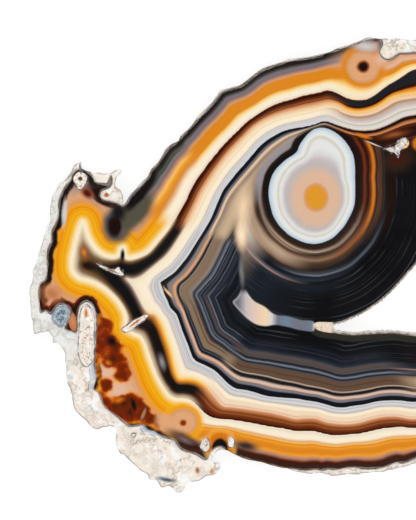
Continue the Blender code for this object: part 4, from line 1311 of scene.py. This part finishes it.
def make_bands():
    """The group: all layers, the eye over them, clots, spots, and fine streaks along every layer."""
    draw, given, result = group(
        "agate_bands", (("Streaks", FLOAT, 0.1),), (("Color", COLOUR),))
    place = draw.drawn_place(0.5)
    wave = draw.noise(draw.place(), 260.0, 3.0, 0.6)
    level = draw.sway(wave, 0.03, draw.read("growth"))
    colour = outer_bands(draw, level)
    dark = draw.between(level, 4.7, 5.1)
    colour = hairlines(draw, colour, level, 12.0, dark, 0.28)
    gap = draw.between(draw.read("hollow_gap"), 1.2, 1.8)
    colour = draw.mix(draw.times(dark, draw.calc("SUBTRACT", 1.0, gap)), colour, tint("olive"))
    eye_side = draw.between(draw.read("eye_side"), -0.6, 0.6)
    colour = draw.mix(eye_side, colour, eye_rings(draw))
    inner = draw.between(draw.read("eye_depth"), -0.12, 0.12)
    colour = draw.mix(inner, colour, eye_inside(draw))
    flat = draw.parts(place)
    across = draw.calc("MULTIPLY_ADD", flat["X"], 1 / LENS_LENGTH, 1.0)
    lens = draw.ramp(across, {
        30: "dusk", 36: "slate", 42: "lilac", 47: "lens", 58: "shell", 63: "lens_rim", 65: "steel",
        68: "slate", 75: "sea", 82: "slate", 92: "slate", 96.5: "sea", 98.5: "putty", 100: "celadon",
    })
    depth_in = draw.read("lens")
    rim = draw.times(draw.between(depth_in, 0.8, 0.1, 0.0, 0.5), draw.between(across, 0.66, 0.62))
    lens = draw.mix(rim, lens, tint("lens_rim"))
    below = draw.between(flat["Y"], -23.5, -25.5)
    colour = draw.mix(draw.times(draw.between(depth_in, -0.15, 0.35), below), colour, lens)
    clots = draw.sway(draw.noise(draw.place(), 900.0, 3.0), 0.35, draw.read("clots"))
    patchy = draw.calc("MULTIPLY_ADD", draw.noise(draw.place(), 330.0, 3.0), 0.9, -0.27)
    clot = draw.ramp(draw.calc("MULTIPLY_ADD", clots, 0.36, patchy), {
        0: "amber", 12: "marigold", 25: "rust", 42: "garnet", 65: "chestnut", 100: "oxblood",
    })
    colour = draw.mix(draw.between(clots, -0.85, 0.25), colour, clot)
    colour = spotted(draw, colour, place, SPOTS)
    streak = draw.noise(level, 26.0, 3.0, 0.6, "1D")
    shade = draw.sway(streak, given["Streaks"], 1.0)
    mottle = draw.noise(draw.place(), 1100.0, 3.0, 0.6)
    shade = draw.sway(mottle, 0.07, shade)
    lit = draw.tree.nodes.new("ShaderNodeHueSaturation")
    draw.link(shade, lit.inputs["Value"])
    draw.link(colour, lit.inputs["Color"])
    draw.link(lit.outputs["Color"], result["Color"])
    return draw.tree


AGATE_BANDS = make_bands()
print(len(AGATE_BANDS.nodes), "nodes in the band group")

# %% [markdown]
# The matrix is the pale, chalky rock that the nodule sat in: white and cream grains with tan creases
# between them, brown where soil has stained it. The creases are the places where slow noise passes
# its own middle value, which makes thin winding lines.

# %% The chalky matrix
def make_matrix():
    """The group: grain colour, and a height for the bump."""
    draw, given, result = group(
        "chalky_matrix", (("Stain", FLOAT, 0.5),), (("Color", COLOUR), ("Height", FLOAT)))
    place = draw.place()
    coarse = draw.noise(place, 260.0, 4.0, 0.6)
    fine = draw.noise(place, 1500.0, 3.0, 0.6)
    colour = draw.ramp(coarse, {
        30: "mist", 37: "chalk", 44: "chalk", 49: "biscuit_white", 56: "plaster", 62: "biscuit_white",
        67: "chalk", 76: "sand",
    })
    crease = draw.noise(place, 210.0, 5.0, 0.65)
    near = draw.calc("ABSOLUTE", draw.calc("SUBTRACT", crease, 0.47))
    here = draw.between(draw.noise(place, 120.0), 0.4, 0.6, 0.1, 0.7)
    colour = draw.mix(draw.times(draw.between(near, 0.028, 0.0), here), colour, tint("fawn"))
    stain = draw.noise(place, 230.0, 5.0, 0.7)
    level = draw.calc("MULTIPLY_ADD", given["Stain"], -0.3, 0.78)
    stained = draw.between(stain, level, draw.calc("ADD", level, 0.14))
    colour = draw.mix(stained, colour, draw.ramp(fine, {30: "loam", 60: "tan", 80: "copper"}))
    dark = draw.between(fine, 0.33, 0.25)
    colour = draw.mix(draw.times(dark, 0.45), colour, tint("fawn"))
    # Within half a millimetre inside the rough rim the matrix turns grey-brown in patches, a darker outline
    # along the edge.
    edge = draw.between(draw.read("edge_depth"), 0.45, 0.1, 0.0, 0.75)
    here = draw.between(coarse, 0.4, 0.56)
    colour = draw.mix(draw.times(edge, here), colour, tint("rind"))
    draw.link(colour, result["Color"])
    low = draw.times(draw.between(near, 0.0, 0.04), 0.25)
    rise = draw.calc("ADD", draw.calc("ADD", coarse, low), draw.times(fine, 0.35))
    draw.link(rise, result["Height"])
    return draw.tree


CHALKY_MATRIX = make_matrix()


# %% Pits and skin
def make_pits():
    """The group: the colour inside a pit, from its lip, where a thin dark line is painted shade, to its
    floor, and how much it covers.
    """
    draw, _, result = group("pit_lining_and_lip_shade", (), (("Color", COLOUR), ("Cover", FLOAT)))
    depth_in = draw.read("pit_depth")
    grain = draw.noise(draw.place(), 900.0, 3.0)
    along = draw.sway(grain, 0.35, draw.calc("DIVIDE", depth_in, 2.0))
    # At the lip the ramp paints shade: soot fading through rind grey before the chalk.
    cream = draw.ramp(along, {
        0: "soot", 4: "rind", 10: "chalk", 26: "chalk", 34: "biscuit_white", 50: "chalk", 62: "sand",
        70: "chalk", 100: "plaster",
    })
    # Slate at the lip of the blue vug is painted shade as well.
    blue = draw.ramp(along, {
        0: "slate", 6: "frost", 14: "sky", 20: "sea", 25: "frost", 34: "steel", 40: "frost", 52: "sky",
        60: "sea", 80: "slate",
    })
    crumbs = draw.between(draw.noise(draw.place(), 1500.0, 2.0), 0.56, 0.66, 0.0, 0.7)
    crumbs = draw.times(crumbs, draw.between(depth_in, 0.1, 0.3))
    cream = draw.mix(crumbs, cream, tint("copper"))
    colour = draw.mix(draw.between(draw.read("blue_pit"), -0.3, 0.0), cream, blue)
    draw.link(colour, result["Color"])
    draw.link(draw.between(depth_in, -0.12, 0.08), result["Cover"])
    return draw.tree


PIT_LINING_AND_LIP_SHADE = make_pits()
QUARTZ_IOR = 1.54
# Outside the skin, over 1 mm, and the blue rind of the lower left, over 1.3 mm.
SKIN_LINE = {0: "umber", 10: "loam", 22: "putty", 50: "plaster", 100: "chalk"}
BLUE_RIND = {0: "dusk", 10: "steel", 35: "sky", 75: "frost", 90: "steel", 98: "bistre", 100: "plaster"}


def material(name, roughness):
    """A new material with a Principled shader: a drawing of its tree, and the shader's inputs."""
    made = bpy.data.materials.new(name)
    made.use_nodes = True
    shader = made.node_tree.nodes["Principled BSDF"].inputs
    shader["Roughness"].default_value = roughness
    shader["IOR"].default_value = QUARTZ_IOR
    return made, Drawing(made.node_tree), shader


def layered(draw, streaks, stain):
    """The bands inside the skin and the matrix outside it, with a rusty and then pale line between
    them: the colour, the skin's distance, and the matrix."""
    bands = draw.use(AGATE_BANDS, Streaks=streaks)
    matrix = draw.use(CHALKY_MATRIX, Stain=stain)
    skin = draw.read("skin_depth")
    lumpy = draw.calc("MULTIPLY_ADD", draw.noise(draw.place(), 420.0, 3.0), 0.9, -0.45)
    out = draw.calc("SUBTRACT", draw.times(skin, -1.0), lumpy)
    outside = draw.mix(draw.between(skin, -0.7, -0.2), matrix.outputs["Color"], draw.ramp(out, SKIN_LINE))
    rind = draw.ramp(draw.times(out, 0.75), BLUE_RIND)
    there = draw.times(draw.read("at_lower_left"), draw.between(out, 1.36, 1.3))
    patches = draw.between(draw.noise(draw.place(), 130.0, 2.0), 0.44, 0.54)
    outside = draw.mix(draw.times(there, patches), outside, rind)
    rusty = draw.between(draw.noise(draw.place(), 260.0, 3.0), 0.46, 0.6)
    edge = draw.mix(rusty, tint("rind"), tint("bark"))
    bright = draw.times(draw.between(skin, 0.4, 0.1), draw.between(lumpy, -0.12, 0.1, 0.0, 0.75))
    inside = draw.mix(bright, bands.outputs["Color"], edge)
    colour = draw.mix(draw.between(skin, 0.08, -0.08), inside, outside)
    return colour, skin, matrix


# %% [markdown]
# The polished face shows the bands as if through glass: the quartz is hard and clear, so the gloss
# is sharp and even, with only a trace of wheel marks. The matrix is too soft to polish, so past the
# skin the finish turns dull and bumpy. The pits are lined with pale rock and small crystals, with a
# thin dark line of painted shade at each pit's lip.

# %% The polished face
def polished_face():
    """Gloss on the bands, chalk outside the skin and in the pits."""
    made, draw, shader = material("polished_agate", 0.1)
    colour, skin, matrix = layered(draw, 0.12, 0.45)
    grey = draw.times(draw.times(draw.read("at_left"), 0.6), draw.between(skin, -0.2, -0.7))
    colour = draw.mix(grey, colour, tint("mist"))
    pits_here = draw.use(PIT_LINING_AND_LIP_SHADE).outputs
    # Each pit's colour brings a dark line of painted shade at its lip.
    colour = draw.mix(pits_here["Cover"], colour, pits_here["Color"])
    colour = spotted(draw, colour, draw.drawn_place(0.6), MATRIX_SPOTS)
    draw.link(colour, shader["Base Color"])
    dull = draw.calc("MAXIMUM", draw.between(skin, -0.1, -0.4), pits_here["Cover"])
    wear = draw.noise(draw.place(), 60.0, 3.0)
    gloss = draw.between(wear, 0.3, 0.7, 0.06, 0.15)
    draw.link(draw.calc("MULTIPLY_ADD", dull, 0.58, gloss), shader["Roughness"])
    marks = draw.tree.nodes.new("ShaderNodeMapping")
    marks.inputs["Scale"].default_value = (1.0, 0.03, 1.0)
    marks.inputs["Rotation"].default_value = (0, 0, math.radians(28))
    draw.link(draw.place(), marks.inputs["Vector"])
    wheel = draw.noise(marks.outputs["Vector"], 2600.0, 2.0)
    height = draw.times(matrix.outputs["Height"], dull)
    height = draw.calc("MULTIPLY_ADD", wheel, 0.0025, height)
    draw.link(draw.bump(height, 0.6, 0.0009), shader["Normal"])
    return made


# %% Rim, back and hollow wall
def natural_rim():
    """The nodule's outside: a dark iron skin with rusty patches on the hard parts, stained chalk on
    the matrix."""
    made, draw, shader = material("natural_rim", 0.7)
    matrix = draw.use(CHALKY_MATRIX, Stain=0.9).outputs
    grain = draw.noise(draw.place(), 380.0, 5.0, 0.65)
    crust = draw.ramp(grain, {
        30: "jet", 42: "umber", 50: "bistre", 56: "loam", 62: "rind", 70: "putty", 78: "sienna",
    })
    lime = draw.calc("MULTIPLY_ADD", draw.noise(draw.place(), 150.0, 4.0), 3.0, draw.read("skin_depth"))
    chalk = draw.between(draw.calc("ADD", lime, grain), 2.0, 1.3)
    draw.link(draw.mix(chalk, crust, matrix["Color"]), shader["Base Color"])
    height = draw.calc("ADD", matrix["Height"], grain)
    draw.link(draw.bump(height, 0.8, 0.0007), shader["Normal"])
    return made


def sawn_back():
    """The back as the saw left it: the same bands, greyed by the rough cut, with the blade's arcs."""
    made, draw, shader = material("sawn_back", 0.48)
    colour, _, matrix = layered(draw, 0.1, 0.6)
    shift = draw.vector("ADD", draw.place(), (0.31, -0.12, 0.0))
    from_axle = draw.vector("LENGTH", draw.vector("MULTIPLY", shift, (1.0, 1.0, 0.0)))
    arcs = draw.noise(from_axle, 2200.0, 3.0, 0.7, "1D")
    dust = draw.noise(draw.place(), 150.0, 4.0)
    pale = draw.sway(arcs, 0.25, draw.between(dust, 0.3, 0.8, 0.08, 0.3))
    draw.link(draw.mix(pale, colour, tint("fog")), shader["Base Color"])
    height = draw.calc("MULTIPLY_ADD", matrix.outputs["Height"], 0.15, arcs)
    draw.link(draw.bump(height, 0.35, 0.0003), shader["Normal"])
    return made


def cut_wall():
    """The wall of the open hollow behind the crust."""
    made, draw, shader = material("hollow_wall", 0.35)
    bands = draw.use(AGATE_BANDS, Streaks=0.1)
    grain = draw.noise(draw.place(), 1400.0, 3.0)
    draw.link(draw.mix(draw.between(grain, 0.3, 0.8, 0.0, 0.35), bands.outputs["Color"], tint("rind")),
              shader["Base Color"])
    draw.link(draw.bump(grain, 0.5, 0.0003), shader["Normal"])
    return made


for finish in (polished_face(), natural_rim(), sawn_back(), cut_wall()):
    stone.data.materials.append(finish)
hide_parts("agate_slab")
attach(stone, "root")
print([finish.name for finish in stone.data.materials])

# %% [markdown]
# The hollow is lined with a druse: a crust of tiny quartz crystals, all pointing into the open space.
# The saw cut its top flat with the face. It is made of two parts joined in one mesh. The first is a
# ring of stone from the hollow's wall to a jagged inner edge, which also fills the narrow left end.
# The second is a great many small crystals set on that edge. A crystal is a six-sided rod with a
# six-sided point: thirteen corners, so nearly two thousand of them stay light.

# %% The body of the crust
CRUST_WIDTH = 0.62
CRUST_TIP_X = 4.4
CRUST_LOW = 0.25
CRUST_TOP = THICKNESS - 0.03
CRYSTAL_REACH = 0.3
DRUSE_CRYSTALS = 1700


def crust_edge(spacing):
    """The crust's inner edge and its directions into the hollow: the hollow's outline moved in by the
    crust's width, without the points that would land nearer another side."""
    base = smooth_loop(HOLLOW, spacing)
    normals = left_normals(base)
    width = CRUST_WIDTH + 0.15 * normals[:, 1]
    edge = base + width[:, None] * normals
    keep = (distance(edge, base) > 0.97 * width) & (edge[:, 0] > CRUST_TIP_X + 0.4)
    tip = np.array([[CRUST_TIP_X, -33.0]])
    return np.concatenate([tip, edge[keep]]), np.concatenate([[[1.0, 0.0]], normals[keep]])


def crust_body():
    """A closed ring of stone. Its inner wall is a stack of ragged rings: each point is moved in or out
    by a random part of the crystals' reach."""
    back = hollow - 0.04 * left_normals(hollow)
    edge, normals = crust_edge(0.42)
    chance = np.random.default_rng(11)
    inner = []
    for height in np.linspace(CRUST_LOW, CRUST_TOP, 9):
        grown = CRYSTAL_REACH * (chance.uniform(-0.5, 0.5, len(edge)) ** 3 * 4)
        inner.append(raised(edge + grown[:, None] * normals, height))
    outer = [raised(back, height) for height in (CRUST_LOW, CRUST_TOP)]
    empty = np.empty((0, 2))
    top = cap(outer[-1][:, :2], inner[-1][:, :2], empty)
    bottom = cap(outer[0][:, :2], inner[0][:, :2], empty)
    points, faces, _ = join(outer, inner, top, np.empty((0, 3)), bottom, np.empty((0, 3)))
    return points, faces


# %% Many small crystals
def crystals(roots, axes, radii, lengths, seed):
    """Six-sided crystals as arrays. Ring k of a crystal is root + along * axis + radius * (cos u +
    sin v), where u and v are square to the axis. The last corner is the tip."""
    chance = np.random.default_rng(seed)
    axes = axes / np.linalg.norm(axes, axis=1)[:, None]
    helper = np.where(np.abs(axes[:, 2:]) < 0.8, (0.0, 0.0, 1.0), (1.0, 0.0, 0.0))
    u = np.cross(axes, helper)
    u /= np.linalg.norm(u, axis=1)[:, None]
    v = np.cross(axes, u)
    turn = chance.uniform(0, math.pi / 3, len(roots))[:, None] + np.arange(6) * math.pi / 3
    spread = np.cos(turn)[..., None] * u[:, None] + np.sin(turn)[..., None] * v[:, None]
    ring = radii[:, None, None] * spread
    low = roots[:, None] + ring
    shoulder = chance.uniform(0.35, 0.6, len(roots))
    high = roots[:, None] + 0.9 * ring + (shoulder * lengths)[:, None, None] * axes[:, None]
    tips = roots + lengths[:, None] * axes
    points = np.concatenate([low, high, tips[:, None]], axis=1)
    here = np.arange(6)
    after = np.roll(here, -1)
    one = np.concatenate([
        np.stack([here, after, after + 6], axis=1),
        np.stack([here, after + 6, here + 6], axis=1),
        np.stack([here + 6, after + 6, np.full(6, 12)], axis=1),
        np.array([(0, 5, 4), (0, 4, 3), (0, 3, 2), (0, 2, 1)]),
    ])
    faces = one + 13 * np.arange(len(roots))[:, None, None]
    return points.reshape(-1, 3), faces.reshape(-1, 3)


def druse_crystals(count):
    """Crystals on the crust's inner wall: roots spread along it and up it, axes into the hollow."""
    chance = np.random.default_rng(12)
    edge, normals = crust_edge(0.3)
    pick = chance.integers(1, len(edge), count)
    height = chance.uniform(CRUST_LOW + 0.3, CRUST_TOP - 0.25, count)
    inward = 0.22 * chance.random(count)
    roots = raised(edge[pick] - (0.25 + inward)[:, None] * normals[pick], height)
    tilt = chance.normal(0, 0.3, (count, 3))
    axes = np.column_stack([normals[pick], np.zeros(count)]) + tilt
    radii = chance.uniform(0.13, 0.34, count)
    lengths = radii * chance.uniform(1.5, 2.4, count)
    points, faces = crystals(roots, axes, radii, lengths, 13)
    points[:, 2] = np.clip(points[:, 2], CRUST_LOW, CRUST_TOP)
    return points, faces


def joined(*parts):
    """Several (points, faces) pairs as one."""
    starts = np.cumsum([0] + [len(points) for points, _ in parts[:-1]])
    return (np.concatenate([points for points, _ in parts]),
            np.concatenate([faces + start for start, (_, faces) in zip(starts, parts)]))


def druse_finish():
    """Milky quartz: grey-green where it grows from the wall, clearer and whiter towards the open
    space, peach in the narrow left end, with glassy faces."""
    made, draw, shader = material("milky_quartz", 0.22)
    place = draw.place()
    cloud = draw.noise(place, 700.0, 3.0, 0.6)
    out = draw.calc("DIVIDE", draw.read("wall_gap"), 1.4)
    along = draw.sway(cloud, 0.9, out)
    colour = draw.ramp(along, {
        0: "khaki", 14: "moss", 24: "rind", 42: "putty", 60: "fog", 80: "white", 100: "chalk",
    })
    x = draw.parts(draw.drawn_place(0.4))["X"]
    end = draw.times(draw.between(x, 4.6, 3.6), draw.between(x, -3.0, -2.0))
    colour = draw.mix(end, colour, draw.ramp(cloud, {30: "tan", 50: "bone", 70: "biscuit"}))
    draw.link(colour, shader["Base Color"])
    draw.link(draw.bump(draw.noise(place, 2500.0, 2.0), 0.3, 0.0002), shader["Normal"])
    return made


def keep_gap(piece, loop):
    """Stores each point's distance from a loop with the piece, as wall_gap."""
    points = np.empty(3 * len(piece.data.vertices))
    piece.data.vertices.foreach_get("co", points)
    flat = points.reshape(-1, 3)[:, :2] / MM + CENTRE
    keep(piece, "wall_gap", distance(flat, loop))


druse = build("crystal_druse", *joined(crust_body(), druse_crystals(DRUSE_CRYSTALS)), sharp=25)
keep_gap(druse, hollow)
druse.data.materials.append(druse_finish())
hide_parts("crystal_crust")
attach(druse, "root")
print(len(druse.data.polygons), "triangles in the druse")

# %% [markdown]
# Three of the small pits in the face have crystals too, standing up from their floors. They are
# joined in one piece of their own, as they are all the same white to blue-grey quartz.

# %% Crystals in the pits
# For each pit: the spacing of its crystals and their usual radius.
VUG_CRYSTALS = (("blue_vug", 0.42, 0.22), ("star_vug", 0.36, 0.2), ("foot_vug", 0.45, 0.2))


def pit_crystals():
    """Crystals on a grid over each pit's floor, leaning at random, none higher than the face."""
    chance = np.random.default_rng(17)
    parts = []
    for index, (name, spacing, radius) in enumerate(VUG_CRYSTALS):
        loop = pits[name][0]
        grid = hex_grid(loop, spacing)
        grid = grid[distance(grid, loop) > 0.5 * radius]
        grid += chance.normal(0, 0.08, grid.shape)
        roots = raised(grid, face_height(grid) - 0.1)
        axes = np.array([0.0, 0.0, 1.0]) + chance.normal(0, 0.35, (len(grid), 3))
        radii = radius * chance.uniform(0.6, 1.2, len(grid))
        points, faces = crystals(roots, axes, radii, 2.1 * radii, 20 + index)
        points[:, 2] = np.minimum(points[:, 2], THICKNESS - 0.05)
        parts.append((points, faces))
    return joined(*parts)


def pit_finish():
    """Blue-white quartz in soft rings in the blue vug, as the photo shows, and white quartz in the
    pits further off."""
    made, draw, shader = material("pocket_quartz", 0.25)
    cloud = draw.noise(draw.place(), 900.0, 3.0, 0.6)
    gap = draw.read("wall_gap")
    rings = draw.noise(gap, 2.2, 2.0, 0.6, "1D")
    along = draw.sway(cloud, 0.5, rings)
    colour = draw.ramp(along, {28: "slate", 38: "sea", 46: "sky", 54: "frost", 66: "white", 76: "sky"})
    white = draw.ramp(cloud, {34: "rind", 46: "fog", 54: "chalk", 64: "white"})
    draw.link(draw.mix(draw.between(gap, 4.0, 6.0), colour, white), shader["Base Color"])
    return made


pocket = build("vug_crystals", *pit_crystals(), sharp=25)
keep_gap(pocket, pits["blue_vug"][0])
pocket.data.materials.append(pit_finish())
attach(pocket, "root")
print(len(pocket.data.polygons), "triangles in the pits' crystals")

# %% [markdown]
# The slice lies on a plain pale floor under soft light from all round, as on a copy stand. The lamps
# stand well off the vertical, so their mirror images miss a camera that looks straight down and the
# blacks stay black. The floor glows a little, like a light table, so the slice throws no shadow. A
# long lens at a distance keeps the slice's wall from showing on any side.

# %% Floor, light and camera
VIEW_CENTRE = (-27.0, -16.5)
VIEW_HEIGHT = 130.0
CAMERA_RISE = 1.3
LENS_SENSOR = 36.0
FLOOR_GREY = 0.3
FLOOR_GLOW = 0.78
LAMP_DISTANCE = 1.1
LAMP_ELEVATION = 62
LAMP_SIZE = 0.6
LAMP_POWER = 2.7


def floor():
    """A wide flat square, with its faces up."""
    mesh = bpy.data.meshes.new("floor")
    corners = [(x, y, -0.0001) for x, y in ((-3, -3), (3, -3), (3, 3), (-3, 3))]
    mesh.from_pydata(corners, [], [(0, 1, 2, 3)])
    piece = new_object("floor", mesh)
    made, _, shader = material("pale_floor", 0.8)
    shader["Base Color"].default_value = (FLOOR_GREY, FLOOR_GREY, FLOOR_GREY, 1)
    shader["Emission Color"].default_value = (1, 1, 1, 1)
    shader["Emission Strength"].default_value = FLOOR_GLOW
    shader["Specular IOR Level"].default_value = 0.1
    mesh.materials.append(made)


def lamp(name, azimuth):
    """A square soft box that faces the slice from the side."""
    light = bpy.data.lights.new(name, "AREA")
    light.size = LAMP_SIZE
    light.energy = LAMP_POWER
    turn, rise = math.radians(azimuth), math.radians(LAMP_ELEVATION)
    way = np.array([math.cos(turn) * math.cos(rise), math.sin(turn) * math.cos(rise), math.sin(rise)])
    box = new_object(name, light)
    box.location = LAMP_DISTANCE * way
    box.rotation_euler = (math.pi / 2 - rise, 0, turn + math.pi / 2)


def camera():
    """A camera straight above, whose long side takes in the view's height."""
    lens = bpy.data.cameras.new("camera")
    lens.sensor_width = LENS_SENSOR
    lens.lens = LENS_SENSOR * (CAMERA_RISE - THICKNESS * MM) / (VIEW_HEIGHT * MM)
    eye_point = new_object("camera", lens)
    across, up = (np.array(VIEW_CENTRE) - CENTRE) * MM
    eye_point.location = (across, up, CAMERA_RISE)
    bpy.context.scene.camera = eye_point


def sky():
    """Even light from low down, fading to dark overhead."""
    world = bpy.data.worlds.new("studio")
    world.use_nodes = True
    draw = Drawing(world.node_tree)
    strength = draw.between(draw.parts(draw.place())["Z"], 0.55, 0.92, 0.5, 0.05)
    background = world.node_tree.nodes["Background"]
    background.inputs["Color"].default_value = (1, 1, 1, 1)
    draw.link(strength, background.inputs["Strength"])
    bpy.context.scene.world = world


floor()
for index, azimuth in enumerate((45, 135, 225, 315)):
    lamp(f"soft_box_{index}", azimuth)
camera()
sky()
bpy.context.scene.view_settings.view_transform = "Standard"
